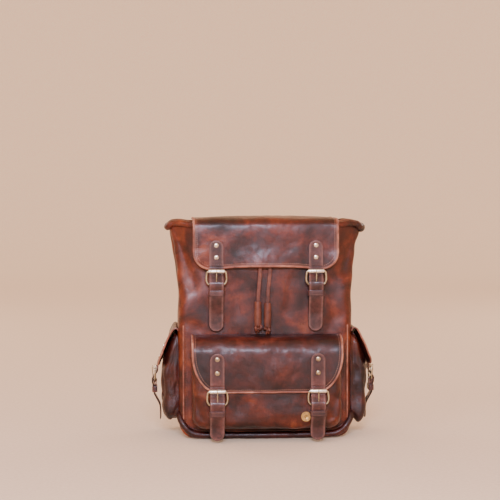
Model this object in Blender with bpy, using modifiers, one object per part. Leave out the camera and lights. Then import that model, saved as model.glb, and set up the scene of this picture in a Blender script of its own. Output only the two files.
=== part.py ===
"""A leather backpack: bag body, lid, front pocket, two side pockets, six buckled straps and the carrying straps.

The bag stands on its base. The origin is the centre of the base's footprint at floor level, +Z is up, and the
front of the bag faces -Y. Every length is in metres.
"""

import math

import bmesh
import bpy
from mathutils import Vector

# ---------------------------------------------------------------- driving dimensions
GAP = 0.0003                    # between pieces that touch

BAG_HALF_WIDTH = 0.156
BAG_DEPTH = 0.140
PANEL_TOP = 0.378               # where the panels end and the mouth hem begins
PANEL = 0.0024                  # leather of the bag's walls
CORNER_RADIUS = 0.030           # where the base turns up into the sides
MOUTH_FLARE = 0.016             # how far the sides lean out near the mouth, and over what height
FLARE_HEIGHT = 0.078

LINING = 0.0012
LINING_GAP = 0.0024             # between the lining and the walls

HEM_WIDTH = 0.013               # folded leather tunnel round the mouth
HEM_HEIGHT = 0.013
HEM_WALL = 0.0022
HEM_CORNER = 0.016
DRAWSTRING_RADIUS = 0.0025

LID_HALF_WIDTH = 0.132
LID_THICKNESS = 0.0026
LID_SHARE = 0.43                # of the height from the lid's top to the front pocket that the lid covers
LID_BEND = 0.007                # radius of the lid's bend over the front edge
LID_CORNER = 0.030
LID_CLEARANCE = 0.0015          # between the lid and the hem

POCKET_HALF_WIDTH = 0.131
POCKET_DEPTH = 0.0457
POCKET_BOTTOM = 0.026
POCKET_TOP = 0.176
POCKET_WALL = 0.0022
POCKET_CHAMFER = 0.009
WELT_REACH = 0.0090             # the sewn welt that the front flap bends from
WELT_LOWER = 0.171
WELT_UPPER = 0.187
FLAP_HALF_WIDTH = 0.133
FLAP_BEND = 0.012
FLAP_LOWER_EDGE = 0.092
FLAP_CORNER_WIDTH = 0.047
FLAP_CORNER_HEIGHT = 0.068

SIDE_HALF_WIDTH = 0.054
SIDE_REACH = 0.030              # how far a side pocket stands out from the bag
SIDE_BOTTOM = 0.040
SIDE_TOP = 0.171
SIDE_FLAP_HALF_WIDTH = 0.058
SIDE_FLAP_TOP = 0.197
SIDE_FLAP_REACH = 0.0365
SIDE_FLAP_LOWER_EDGE = 0.130
SIDE_FLAP_SLOPE = math.radians(22)
SIDE_FLAP_CORNER = 0.018

STRAP_HALF_WIDTH = 0.0125
STRAP_THICKNESS = 0.0022
STRAP_SPACING = 0.178           # between the two straps of a flap
LID_TAB_LENGTH = 0.046
FRONT_TAB_LENGTH = 0.058
SIDE_TAB_LENGTH = 0.042
TAB_END = 0.008                 # from the tab's lower end down to the roller's axis
WIRE_RADIUS = 0.0015
FRAME_HALF_WIDTH = 0.017
FRAME_HEIGHT = 0.024
ROLLER_WALL = 0.0013
ROLLER_HALF_LENGTH = 0.0130
BAR_CLEARANCE = 0.0004          # round a bar, for the roller, the prong's eye and the chape
PRONG_RADIUS = 0.0009
CHAPE_THICKNESS = 0.0015
CHAPE_HALF_WIDTH = 0.0100
CHAPE_FOOT = 0.0205             # from the bar down to the foot of the chape
CHAPE_BACK = 0.0040             # the chape's back layer over the flap's face
CHAPE_PARTING = 0.0007          # between the chape's two layers
KEEPER_HEIGHT = 0.010
KEEPER_CLEARANCE = 0.0006
PRONG_HOLE_HALF = 0.0024

LID_STRAP_OVERHANG = 0.002      # the roller's axis below the flap's lower edge
LID_STRAP_CLEARANCE = 0.008     # from the end of the lid's straps down to the front pocket
FRONT_STRAP_OVERHANG = -0.002
FRONT_STRAP_TAIL = 0.088        # how far a strap hangs below its roller
SIDE_STRAP_OVERHANG = 0.008
SIDE_STRAP_TAIL = 0.096
TAIL_TUCK = 0.0034              # how far the hanging end lies behind the flap's face

SLEEVE_HALF_WIDTH = 0.0062
SLEEVE_HALF_THICKNESS = 0.0038
SLEEVE_LENGTH = 0.043
KNOT_RADIUS = 0.0040
KNOT_CLEARANCE = 0.009          # from the knots down to the front pocket

SHOULDER_HALF_WIDTH = 0.024
SHOULDER_THICKNESS = 0.006
LOWER_STRAP_HALF_WIDTH = 0.0125
LOWER_STRAP_THICKNESS = 0.003
ANCHOR_REACH = 0.010            # from the back panel to the line through a strap's two anchors
LUG_REACH = 0.0095
ANCHOR_OFFSET = 0.003           # from that line out to the strap's end
LUG_HALF_WIDTH = 0.0020
TOP_ANCHOR_SIDE = 0.058         # from the middle of the bag to a strap's upper anchor, and from the mouth down
TOP_ANCHOR_DROP = 0.026
LOW_ANCHOR_INSET = 0.032        # from the bag's side in to a strap's lower anchor, and from the floor up
LOW_ANCHOR_RISE = 0.036

HANDLE_RADIUS = 0.005
HANDLE_HALF_WIDTH = 0.024
HANDLE_TOP_DROP = 0.0065        # from the mouth's panels down to the line that the handle folds about
HANDLE_REACH = 0.007            # from the back panel to the line that the handle folds about
HANDLE_DROP = 0.036

# ---------------------------------------------------------------- sizes that follow
FRONT = -BAG_DEPTH / 2
BACK = BAG_DEPTH / 2
MOUTH_HALF_WIDTH = BAG_HALF_WIDTH + MOUTH_FLARE
FLARE_START = PANEL_TOP - FLARE_HEIGHT
HEM_MIDDLE = PANEL_TOP + GAP + HEM_HEIGHT / 2
HEM_HALF_DEPTH = BAG_DEPTH / 2 - PANEL / 2
HEM_HALF_WIDTH = MOUTH_HALF_WIDTH + PANEL
LID_LEVEL = HEM_MIDDLE + HEM_HEIGHT / 2 + LID_CLEARANCE + LID_THICKNESS / 2
LID_FRONT = -(HEM_HALF_DEPTH + HEM_WIDTH / 2 + LID_CLEARANCE + LID_THICKNESS / 2)
LID_FACE = LID_FRONT - LID_THICKNESS / 2
LID_FALL = (LID_LEVEL - WELT_UPPER) * LID_SHARE
LID_LOWER_EDGE = LID_LEVEL - LID_FALL
LID_STRAP_TAIL = LID_LOWER_EDGE - LID_STRAP_OVERHANG - WELT_UPPER - LID_STRAP_CLEARANCE
CORD_RUN = PANEL_TOP - WELT_UPPER - SLEEVE_LENGTH - 2 * KNOT_RADIUS - KNOT_CLEARANCE
POCKET_FRONT = FRONT - GAP - POCKET_DEPTH
WELT_FRONT = FRONT - WELT_REACH
FLAP_CLEARANCE = 0.0024         # between the front flap and the pocket's front
FLAP_FRONT = POCKET_FRONT - FLAP_CLEARANCE - LID_THICKNESS / 2
FLAP_FACE = FLAP_FRONT - LID_THICKNESS / 2
FLAP_LEVEL = WELT_UPPER - LID_THICKNESS / 2 - 0.0002
SIDE_FACE = BAG_HALF_WIDTH + SIDE_FLAP_REACH
TOP_ANCHOR = (TOP_ANCHOR_SIDE, PANEL_TOP - TOP_ANCHOR_DROP)
LOW_ANCHOR = (BAG_HALF_WIDTH - LOW_ANCHOR_INSET, LOW_ANCHOR_RISE)
HANDLE_PIVOT = PANEL_TOP - HANDLE_TOP_DROP

ROLLER_BORE = WIRE_RADIUS + BAR_CLEARANCE
ROLLER_RADIUS = ROLLER_BORE + ROLLER_WALL
PRONG_EYE = WIRE_RADIUS + BAR_CLEARANCE + PRONG_RADIUS       # radius of the prong's eye, to its wire's middle
CHAPE_EYE = WIRE_RADIUS + BAR_CLEARANCE + CHAPE_THICKNESS / 2
CHAPE_FRONT = CHAPE_BACK + CHAPE_THICKNESS + CHAPE_PARTING
STRAP_REST = GAP + STRAP_THICKNESS / 2                       # the strap's middle over the flap's face
FRAME_PLANE = GAP + STRAP_THICKNESS + GAP + ROLLER_RADIUS    # the buckle's wire over the flap's face
TAIL_OVER = FRAME_PLANE + CHAPE_EYE + CHAPE_THICKNESS / 2 + 2 * GAP + STRAP_THICKNESS / 2
TAIL_KEPT = CHAPE_FRONT + CHAPE_THICKNESS / 2 + GAP + STRAP_THICKNESS / 2
BAR = Vector((0.0, -FRAME_PLANE, -FRAME_HEIGHT))             # the chape's bar, from the roller's foot

LEATHER = (0.27, 0.085, 0.045)
DARK_LEATHER = (0.17, 0.060, 0.045)
BRASS = (0.55, 0.47, 0.32)
CANVAS = (0.30, 0.22, 0.15)


# ---------------------------------------------------------------- helpers
def clear_scene():
    for obj in list(bpy.data.objects):
        bpy.data.objects.remove(obj, do_unlink=True)


def new_collection(name):
    collection = bpy.data.collections.new(name)
    bpy.context.scene.collection.children.link(collection)
    return collection


def material(name, colour, roughness, metallic=0.0):
    made = bpy.data.materials.get(name)
    if made is None:
        made = bpy.data.materials.new(name)
        made.use_nodes = True
        shader = made.node_tree.nodes["Principled BSDF"]
        shader.inputs["Base Color"].default_value = (*colour, 1.0)
        shader.inputs["Roughness"].default_value = roughness
        shader.inputs["Metallic"].default_value = metallic
    return made


def leather():
    return material("brown_leather", LEATHER, 0.45)


def strap_leather():
    return material("strap_leather", DARK_LEATHER, 0.45)


def brass():
    return material("antique_brass", BRASS, 0.3, 1.0)


def place(obj, parent, location, finish):
    """Links the object, parents it and puts it where it belongs."""
    bag.objects.link(obj)
    obj.parent = parent
    obj.location = location
    obj.data.materials.append(finish)
    return obj


def empty(name, location, parent=None, turn=0.0):
    obj = bpy.data.objects.new(name, None)
    bag.objects.link(obj)
    obj.parent = parent
    obj.location = location
    obj.rotation_euler = (0.0, 0.0, turn)
    return obj


def mesh_of(name, points, faces, origin=(0, 0, 0)):
    mesh = bpy.data.meshes.new(name)
    mesh.from_pydata([Vector(p) - Vector(origin) for p in points], [], faces)
    mesh.validate()
    return mesh


def solidify(obj, thickness, offset=0.0):
    shell = obj.modifiers.new("thickness", "SOLIDIFY")
    shell.thickness = thickness
    shell.offset = offset
    shell.use_even_offset = True
    return obj


def arc(centre, radius, start, end, steps):
    """Points of a circle's arc in a plane, from one angle to another, in degrees."""
    angles = [math.radians(start + (end - start) * i / steps) for i in range(steps + 1)]
    return [(centre[0] + radius * math.cos(a), centre[1] + radius * math.sin(a)) for a in angles]


def along(path, distance):
    """The point that lies so far along a line of points."""
    for a, b in zip(path, path[1:]):
        step = (Vector(b) - Vector(a)).length
        if distance <= step:
            return Vector(a).lerp(Vector(b), distance / step)
        distance -= step
    return Vector(path[-1])


def length_of(path):
    return sum((Vector(b) - Vector(a)).length for a, b in zip(path, path[1:]))


def flap_mesh(name, path, half_width, drop, fixed=0.0, columns=None, rows=None, holes=(), origin=(0, 0, 0)):
    """A sheet that follows a path of (y, z) points and runs across X, as a grid without thickness.

    drop(x) says how much shorter the sheet is at x, and the part up to fixed keeps its rows where they are.
    holes lists ranges of distance in which the middle column is left open.
    """
    total = length_of(path)
    if columns is None:
        columns = [-1.0, -0.93, -0.8, -0.6, 0.0, 0.6, 0.8, 0.93, 1.0]
    if rows is None:
        rows = [length_of(path[: i + 1]) for i in range(len(path))]
    points, faces = [], []
    for distance in rows:
        for column in columns:
            x = column * half_width
            reach = total - drop(x)
            s = distance
            if distance > fixed:
                s = fixed + (distance - fixed) * (reach - fixed) / (total - fixed)
            y, z = along(path, s)
            points.append((x, y, z))
    across = len(columns)
    middle = across // 2 - 1
    for r in range(len(rows) - 1):
        centre = (rows[r] + rows[r + 1]) / 2
        for c in range(across - 1):
            if c == middle and any(low < centre < high for low, high in holes):
                continue
            a = r * across + c
            faces.append((a, a + 1, a + across + 1, a + across))
    return mesh_of(name, points, faces, origin)


def round_end(radius):
    """The drop of a strap's half-round end."""
    return lambda x: radius - math.sqrt(max(0.0, radius * radius - x * x))


def round_corners(half_width, width, height):
    """The drop of a flap whose lower corners are quarter ellipses."""
    def drop(x):
        into = abs(x) - (half_width - width)
        if into <= 0:
            return 0.0
        return height * (1 - math.sqrt(max(0.0, 1 - (into / width) ** 2)))
    return drop


def plate(name, outline, thickness, finish, level):
    """A flat outline as a filled curve that lies across Y at that level."""
    curve = bpy.data.curves.new(name, "CURVE")
    curve.dimensions = "2D"
    curve.fill_mode = "BOTH"
    curve.extrude = thickness / 2
    spline = curve.splines.new("POLY")
    spline.points.add(len(outline) - 1)
    for point, (a, b) in zip(spline.points, outline):
        point.co = (a, b, 0.0, 1.0)
    spline.use_cyclic_u = True
    obj = bpy.data.objects.new(name, curve)
    place(obj, None, (0.0, level, 0.0), finish)
    obj.rotation_euler = (math.radians(90), 0.0, 0.0)
    return obj


def tube(name, route, radius, finish, parent=None, location=(0, 0, 0), sides=2, cyclic=False):
    """A round wire or cord along a route of points."""
    curve = bpy.data.curves.new(name, "CURVE")
    curve.dimensions = "3D"
    curve.bevel_depth = radius
    curve.bevel_resolution = sides
    curve.use_fill_caps = not cyclic
    spline = curve.splines.new("POLY")
    spline.points.add(len(route) - 1)
    for point, p in zip(spline.points, route):
        point.co = (*p, 1.0)
    spline.use_cyclic_u = cyclic
    return place(bpy.data.objects.new(name, curve), parent, location, finish)


def open_box(name, profile, half_length, along_x, thickness, finish):
    """A pocket: a profile from one rim down, round and up to the other rim, with an end wall at each side."""
    def point(a, z, side):
        return (side * half_length, a, z) if along_x else (a, side * half_length, z)
    count = len(profile)
    points = [point(a, z, -1) for a, z in profile] + [point(a, z, 1) for a, z in profile]
    faces = [(i, i + 1, count + i + 1, count + i) for i in range(count - 1)]
    faces.append(tuple(reversed(range(count))))
    faces.append(tuple(range(count, 2 * count)))
    mesh = mesh_of(name, points, faces)
    edit = bmesh.new()
    edit.from_mesh(mesh)
    bmesh.ops.recalc_face_normals(edit, faces=edit.faces)
    middle = sum((f.calc_center_median() for f in edit.faces), Vector()) / len(edit.faces)
    lowest = min(edit.faces, key=lambda f: f.calc_center_median().z)
    if lowest.normal.dot(lowest.calc_center_median() - middle) < 0:
        bmesh.ops.reverse_faces(edit, faces=edit.faces)
    edit.to_mesh(mesh)
    edit.free()
    obj = place(bpy.data.objects.new(name, mesh), None, (0, 0, 0), finish)
    return solidify(obj, thickness, -1.0)


def box_cutter(name, low, high):
    """A box that a Boolean joins to a piece. It isn't part of the object itself."""
    bpy.ops.mesh.primitive_cube_add(size=1.0)
    obj = bpy.context.object
    obj.name = name
    for collection in list(obj.users_collection):
        collection.objects.unlink(obj)
    helpers.objects.link(obj)
    low, high = Vector(low), Vector(high)
    size = high - low
    for vertex in obj.data.vertices:
        centre = (low + high) / 2
        vertex.co = [vertex.co[k] * size[k] + centre[k] for k in range(3)]
    obj.hide_render = True
    obj.display_type = "WIRE"
    return obj


def join(obj, other):
    union = obj.modifiers.new("join", "BOOLEAN")
    union.operation = "UNION"
    union.object = other
    return obj


def as_mesh(obj):
    """The curve object made a mesh, with its caps welded to its sides."""
    bpy.context.view_layer.update()
    evaluated = obj.evaluated_get(bpy.context.evaluated_depsgraph_get())
    mesh = bpy.data.meshes.new_from_object(evaluated)
    edit = bmesh.new()
    edit.from_mesh(mesh)
    bmesh.ops.remove_doubles(edit, verts=edit.verts, dist=1e-5)
    edit.to_mesh(mesh)
    edit.free()
    made = bpy.data.objects.new(obj.name + "_mesh", mesh)
    made.matrix_world = obj.matrix_world
    name = obj.name
    bpy.data.objects.remove(obj, do_unlink=True)
    made.name = name
    bag.objects.link(made)
    return made


# ---------------------------------------------------------------- the bag's body
def body_outline():
    """Half the bag seen from the front: up one side, with the flare, and the round lower corners."""
    x, z, r = BAG_HALF_WIDTH, PANEL_TOP, CORNER_RADIUS
    right = arc((x - r, r), r, -90, 0, 5) + [(x, FLARE_START), (MOUTH_HALF_WIDTH, z)]
    return right + [(-a, b) for a, b in reversed(right)]


def make_panels():
    outline = body_outline()
    plate("front_panel", outline, PANEL, leather(), FRONT + PANEL / 2)
    back = as_mesh(plate("back_panel", outline, PANEL, leather(), BACK - PANEL / 2))
    for side in (-1, 1):
        for label, (x, low), half, tall, reach in (
            ("top", (TOP_ANCHOR[0], TOP_ANCHOR[1] - 0.006), LUG_HALF_WIDTH, 0.012, LUG_REACH),
            ("low", (LOW_ANCHOR[0], LOW_ANCHOR[1] - 0.006), LUG_HALF_WIDTH, 0.012, LUG_REACH),
            ("handle", (HANDLE_HALF_WIDTH, HANDLE_PIVOT - 0.001), 0.006, 0.007, HANDLE_REACH + 0.0019),
        ):
            lug = box_cutter(
                f"{label}_lug_{side}",
                (side * x - half, BACK - PANEL / 2, low),
                (side * x + half, BACK + reach, low + tall),
            )
            join(back, lug)


def make_sides():
    """The base turns up at each end, and a side piece carries on from it to the mouth."""
    half = BAG_DEPTH / 2 - PANEL - GAP
    r, w = CORNER_RADIUS, BAG_HALF_WIDTH
    middle = r - PANEL / 2
    right = arc((w - r, r), middle, -90, 0, 5)
    band = [(-a, b) for a, b in reversed(right)] + right
    sheet("base_panel", band, half)
    for side, name in ((-1, "side_panel_left"), (1, "side_panel_right")):
        rise = [
            (w - PANEL / 2, r + GAP),
            (w - PANEL / 2, FLARE_START),
            (MOUTH_HALF_WIDTH - PANEL / 2, PANEL_TOP),
        ]
        sheet(name, [(side * a, b) for a, b in rise], half)


def sheet(name, path, half):
    """A strip that follows (x, z) points and runs across Y."""
    points = [(x, s * half, z) for x, z in path for s in (-1, 1)]
    faces = [(2 * i, 2 * i + 1, 2 * i + 3, 2 * i + 2) for i in range(len(path) - 1)]
    obj = place(bpy.data.objects.new(name, mesh_of(name, points, faces)), None, (0, 0, 0), leather())
    return solidify(obj, PANEL)


def make_lining():
    """A cloth bag inside the leather one, open at the top."""
    inset = PANEL + LINING_GAP
    x, low, r = BAG_HALF_WIDTH - inset, inset, CORNER_RADIUS
    right = [(x - r * 0.95, low), (x, r * 1.2), (x, PANEL_TOP - 0.006)]
    profile = [(-a, b) for a, b in reversed(right)] + right
    finish = material("cotton_canvas", CANVAS, 0.9)
    open_box("lining", profile, BAG_DEPTH / 2 - inset, False, LINING, finish)


def mouth_route(steps=6):
    """The line round the mouth: a rectangle with round corners."""
    x, y, r = HEM_HALF_WIDTH - HEM_WIDTH / 2 + 0.0065, HEM_HALF_DEPTH, HEM_CORNER
    corners = [((x - r, y - r), 0), ((-x + r, y - r), 90), ((-x + r, -y + r), 180), ((x - r, -y + r), 270)]
    route = []
    for centre, start in corners:
        route += arc(centre, r, start, start + 90, steps)
    return route


def make_mouth():
    """The hem is a folded tunnel that is open below, and the drawstring lies in it all the way round."""
    w, h, t = HEM_WIDTH / 2, HEM_HEIGHT / 2, HEM_WALL
    section = [(-w, -h), (-w, h - 0.002), (-w + 0.002, h), (w - 0.002, h), (w, h - 0.002), (w, -h),
               (w - t, -h), (w - t, h - t), (-w + t, h - t), (-w + t, -h)]
    route = mouth_route()
    count, points, faces = len(section), [], []
    for i, here in enumerate(route):
        before, after = Vector(route[i - 1]), Vector(route[(i + 1) % len(route)])
        ahead = (after - Vector(here)).normalized() + (Vector(here) - before).normalized()
        out = Vector((ahead.y, -ahead.x)).normalized()
        for a, b in section:
            points.append((here[0] + out.x * a, here[1] + out.y * a, HEM_MIDDLE + b))
    for i in range(len(route)):
        j = (i + 1) % len(route)
        for k in range(count):
            m = (k + 1) % count
            faces.append((i * count + k, i * count + m, j * count + m, j * count + k))
    mesh = mesh_of("mouth_hem", points, faces)
    edit = bmesh.new()
    edit.from_mesh(mesh)
    bmesh.ops.recalc_face_normals(edit, faces=edit.faces)
    edit.to_mesh(mesh)
    edit.free()
    place(bpy.data.objects.new("mouth_hem", mesh), None, (0, 0, 0), leather())
    level = HEM_MIDDLE - 0.0005
    tube("drawstring_loop", [(x, y, level) for x, y in mouth_route(4)], DRAWSTRING_RADIUS, strap_leather(),
         sides=1, cyclic=True)


# The drawstring's two ends leave the hem at the front and hang down to their sleeves. By hand, as (x, out of
# the front wall, share of the run from the mouth's panels down to the sleeve).
LEFT_CORD = [(-0.0080, 0.0031, 0.00), (-0.0082, 0.0031, 0.11), (-0.0086, 0.0032, 0.23), (-0.0090, 0.0032, 0.35),
             (-0.0094, 0.0033, 0.46), (-0.0102, 0.0034, 0.56), (-0.0112, 0.0036, 0.67), (-0.0124, 0.0038, 0.78),
             (-0.0136, 0.0040, 0.89), (-0.0145, 0.0042, 1.00)]
RIGHT_CORD = [(0.0080, 0.0031, 0.00), (0.0082, 0.0031, 0.11), (0.0084, 0.0032, 0.23), (0.0083, 0.0032, 0.35),
              (0.0080, 0.0033, 0.46), (0.0073, 0.0034, 0.56), (0.0062, 0.0036, 0.67), (0.0048, 0.0038, 0.78),
              (0.0036, 0.0040, 0.89), (0.0028, 0.0042, 1.02)]


def smooth_route(points, spacing):
    """A smooth line through the points, read off at an even spacing."""
    ends = [Vector(points[0]) * 2 - Vector(points[1])] + [Vector(p) for p in points]
    ends.append(ends[-1] * 2 - ends[-2])
    line = []
    for a, b, c, d in zip(ends, ends[1:], ends[2:], ends[3:]):
        for i in range(8):
            t = i / 8
            line.append(0.5 * (2 * b + (c - a) * t + (2 * a - 5 * b + 4 * c - d) * t * t
                               + (3 * b - a - 3 * c + d) * t ** 3))
    line.append(ends[-2])
    total = length_of(line)
    count = max(2, round(total / spacing))
    return [along(line, total * i / count) for i in range(count + 1)]


def make_cords():
    for side, points in (("left", LEFT_CORD), ("right", RIGHT_CORD)):
        route = [(x, FRONT - out, PANEL_TOP - CORD_RUN * share) for x, out, share in points]
        tube(f"drawstring_end_{side}", smooth_route(route, DRAWSTRING_RADIUS * 4.4), DRAWSTRING_RADIUS,
             strap_leather())
        x, y, z = route[-1]
        make_sleeve(f"drawstring_sleeve_{side}", x, y - 0.0006, z - GAP)


def make_sleeve(name, x, y, top):
    """A leather barrel on the cord's end with the knot under it, turned and then flattened."""
    r, length, knot = 1.0, SLEEVE_LENGTH, KNOT_RADIUS
    profile = [(0.0, 0.0), (r * 0.9, 0.0), (r, -0.001), (r, -length + 0.001), (r * 0.9, -length)]
    neck, ball = 0.30, knot / SLEEVE_HALF_WIDTH
    centre = -length - knot * 0.9
    profile += [(neck, -length)]
    profile += [(ball * math.cos(a), centre + knot * math.sin(a))
                for a in (math.radians(d) for d in (50, 20, -10, -40, -70))]
    profile += [(0.0, centre - knot)]
    mesh = mesh_of(name, [(a, 0.0, b) for a, b in profile], [])
    mesh.edges.add(len(profile) - 1)
    for i, edge in enumerate(mesh.edges):
        edge.vertices = (i, i + 1)
    for vertex in mesh.vertices:
        vertex.co.x *= SLEEVE_HALF_WIDTH
    obj = place(bpy.data.objects.new(name, mesh), None, (x, y, top), strap_leather())
    turn = obj.modifiers.new("turn", "SCREW")
    turn.steps = turn.render_steps = 12
    turn.use_merge_vertices = True
    turn.merge_threshold = 0.00005
    obj.scale = (1.0, SLEEVE_HALF_THICKNESS / SLEEVE_HALF_WIDTH, 1.0)
    return obj


# ---------------------------------------------------------------- lid, pockets and flaps
def make_lid():
    r = LID_BEND
    path = [(BACK + 0.001, LID_LEVEL), (0.0, LID_LEVEL)]
    bend = arc((LID_FRONT + r, LID_LEVEL - r), r, 90, 180, 4)
    fall = [(LID_FRONT, LID_LOWER_EDGE + up) for up in (LID_FALL * 0.6, LID_FALL * 0.3, 0.012, 0.003, 0.0)]
    path = path + bend + fall
    hinge = (0.0, BACK + 0.001, LID_LEVEL)
    fixed = length_of(path[:7])
    drop = round_corners(LID_HALF_WIDTH, LID_CORNER, LID_CORNER)
    columns = [-1, -0.985, -0.94, -0.87, -0.77, 0, 0.77, 0.87, 0.94, 0.985, 1]
    mesh = flap_mesh("lid", path, LID_HALF_WIDTH, drop, fixed, columns, origin=hinge)
    return solidify(place(bpy.data.objects.new("lid", mesh), None, hinge, leather()), LID_THICKNESS)


def make_front_pocket():
    back = FRONT - GAP
    profile = [
        (back, POCKET_TOP), (back, POCKET_BOTTOM), (POCKET_FRONT + POCKET_CHAMFER, POCKET_BOTTOM),
        (POCKET_FRONT, POCKET_BOTTOM + POCKET_CHAMFER), (POCKET_FRONT, POCKET_TOP),
    ]
    pocket = open_box("front_pocket", profile, POCKET_HALF_WIDTH, True, POCKET_WALL, leather())
    welt = box_cutter(
        "flap_welt",
        (-POCKET_HALF_WIDTH, WELT_FRONT, WELT_LOWER),
        (POCKET_HALF_WIDTH, back - GAP, WELT_UPPER),
    )
    join(pocket, welt)

    r = FLAP_BEND
    rear = WELT_FRONT - 2 * GAP
    path = [(rear, FLAP_LEVEL)] + arc((FLAP_FRONT + r, FLAP_LEVEL - r), r, 90, 180, 4)
    path += [(FLAP_FRONT, z) for z in (0.150, 0.125, FLAP_LOWER_EDGE + 0.010, FLAP_LOWER_EDGE)]
    hinge = (0.0, WELT_FRONT - GAP, WELT_UPPER)
    drop = round_corners(FLAP_HALF_WIDTH, FLAP_CORNER_WIDTH, FLAP_CORNER_HEIGHT)
    columns = [-1, -0.99, -0.965, -0.92, -0.85, -0.75, -0.647, 0, 0.647, 0.75, 0.85, 0.92, 0.965, 0.99, 1]
    mesh = flap_mesh("front_flap", path, FLAP_HALF_WIDTH, drop, length_of(path[:6]), columns, origin=hinge)
    return solidify(place(bpy.data.objects.new("front_flap", mesh), None, hinge, leather()), LID_THICKNESS)


def make_side_pockets():
    for side, name in ((-1, "left"), (1, "right")):
        inner = BAG_HALF_WIDTH + GAP
        outer = BAG_HALF_WIDTH + SIDE_REACH
        profile = [
            (inner, SIDE_TOP), (inner, SIDE_BOTTOM), (outer - 0.007, SIDE_BOTTOM),
            (outer, SIDE_BOTTOM + 0.020), (outer, 0.118), (outer - 0.012, SIDE_TOP - 0.006),
        ]
        profile = [(side * a, z) for a, z in profile]
        open_box(f"side_pocket_{name}", profile, SIDE_HALF_WIDTH, False, POCKET_WALL, leather())

        # The flap is built facing the front and turned to its side, like the straps.
        pivot = empty(f"side_flap_pivot_{name}", (side * (BAG_HALF_WIDTH + 0.0022), 0.0, SIDE_FLAP_TOP),
                      turn=side * math.radians(90))
        reach = SIDE_FLAP_REACH - 0.0022 - LID_THICKNESS / 2 / math.cos(SIDE_FLAP_SLOPE)
        fall = SIDE_FLAP_LOWER_EDGE - SIDE_FLAP_TOP
        slope = [(-reach + up * math.tan(SIDE_FLAP_SLOPE), fall + up) for up in (0.045, 0.030, 0.012, 0.0)]
        path = [(0.0, 0.0), (-0.004, 0.0004), (-0.0075, -0.0035), (-0.0110, -0.0110)] + slope
        drop = round_corners(SIDE_FLAP_HALF_WIDTH, SIDE_FLAP_CORNER, SIDE_FLAP_CORNER)
        mesh = flap_mesh(f"side_flap_{name}", path, SIDE_FLAP_HALF_WIDTH, drop, length_of(path[:4]))
        flap = place(bpy.data.objects.new(f"side_flap_{name}", mesh), pivot, (0, 0, 0), leather())
        solidify(flap, LID_THICKNESS)


# ---------------------------------------------------------------- buckled straps
def tail_path(tail):
    """The strap's middle as (y, z) from the roller's foot: behind the roller, over the bar, then down."""
    rise, fall, end = TAIL_OVER - STRAP_REST, TAIL_KEPT - TAIL_OVER, -TAIL_TUCK - TAIL_KEPT
    drops = [(-TAB_END + GAP, STRAP_REST), (-0.003, STRAP_REST), (0.002, STRAP_REST)]
    drops += [(FRAME_HEIGHT + down, STRAP_REST + rise * share) for down, share in (
        (-0.018, 0.08), (-0.014, 0.33), (-0.011, 0.56), (-0.0075, 0.76), (-0.0035, 0.98), (0.0015, 1.0))]
    drops += [(FRAME_HEIGHT + down, TAIL_OVER + fall * share) for down, share in (
        (0.0055, 0.30), (0.0095, 0.80), (0.0140, 0.97), (CHAPE_FOOT, 1.0))]
    free = tail - STRAP_HALF_WIDTH - FRAME_HEIGHT - CHAPE_FOOT
    drops += [(FRAME_HEIGHT + CHAPE_FOOT + free * part, TAIL_KEPT + end * share) for part, share in (
        (0.12, 0.10), (0.30, 0.40), (0.48, 0.71), (0.66, 0.93))]
    drops += [(tail - up, -TAIL_TUCK) for up in (STRAP_HALF_WIDTH, 0.006, 0.0015, 0.0)]
    return [(-w, -u) for u, w in drops]


def make_frame(name, parent, location):
    """A D of brass wire: the roller's bar above, the chape's bar below, the sides bowed."""
    w, h, top, low = FRAME_HALF_WIDTH, FRAME_HEIGHT, 0.0032, 0.0062
    right = [(0.0, 0.0)] + arc((w - top, -top), top, 90, 0, 3)
    right += arc((w - low + 0.0004, -h + low), low, -15, -90, 3) + [(0.0, -h)]
    left = [(-a, b) for a, b in reversed(right[1:-1])]
    route = [(a, -FRAME_PLANE, b) for a, b in right + left]
    return tube(name, route, WIRE_RADIUS, brass(), parent, location, cyclic=True)


def make_roller(name, parent, location):
    """A short tube that turns on the frame's upper bar."""
    r, bore, half = ROLLER_RADIUS, ROLLER_BORE, ROLLER_HALF_LENGTH
    profile = [(r, half - 0.0005), (r, -half + 0.0005), (r - 0.0005, -half), (bore, -half), (bore, half),
               (r - 0.0005, half)]
    mesh = mesh_of(name, [(0.0, a, b) for a, b in profile], [])
    mesh.edges.add(len(profile))
    for i, edge in enumerate(mesh.edges):
        edge.vertices = (i, (i + 1) % len(profile))
    obj = place(bpy.data.objects.new(name, mesh), parent, location, brass())
    turn = obj.modifiers.new("turn", "SCREW")
    turn.steps = turn.render_steps = 12
    turn.use_merge_vertices = True
    turn.merge_threshold = 0.00005
    obj.rotation_euler = (0.0, math.radians(90), 0.0)
    return obj


def make_prong(name, parent):
    """A wire with an eye round the bar, whose point lies on the roller."""
    eye = [(PRONG_EYE * math.cos(a), PRONG_EYE * math.sin(a))
           for a in (math.radians(75 + (360 - 75) * i / 10) for i in range(11))]
    reach = FRAME_PLANE + ROLLER_RADIUS + GAP + PRONG_RADIUS
    rise = reach - FRAME_PLANE
    route = [(0.0, -a, b) for a, b in eye]
    route += [(0.0, -(PRONG_EYE + (rise - PRONG_EYE) * t), FRAME_HEIGHT * t) for t in (0.25, 0.6, 1.0)]
    route.append((0.0, -rise + 0.0003, FRAME_HEIGHT + 0.0028))
    return tube(name, route, PRONG_RADIUS, brass(), parent, BAR, sides=1)


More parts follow.
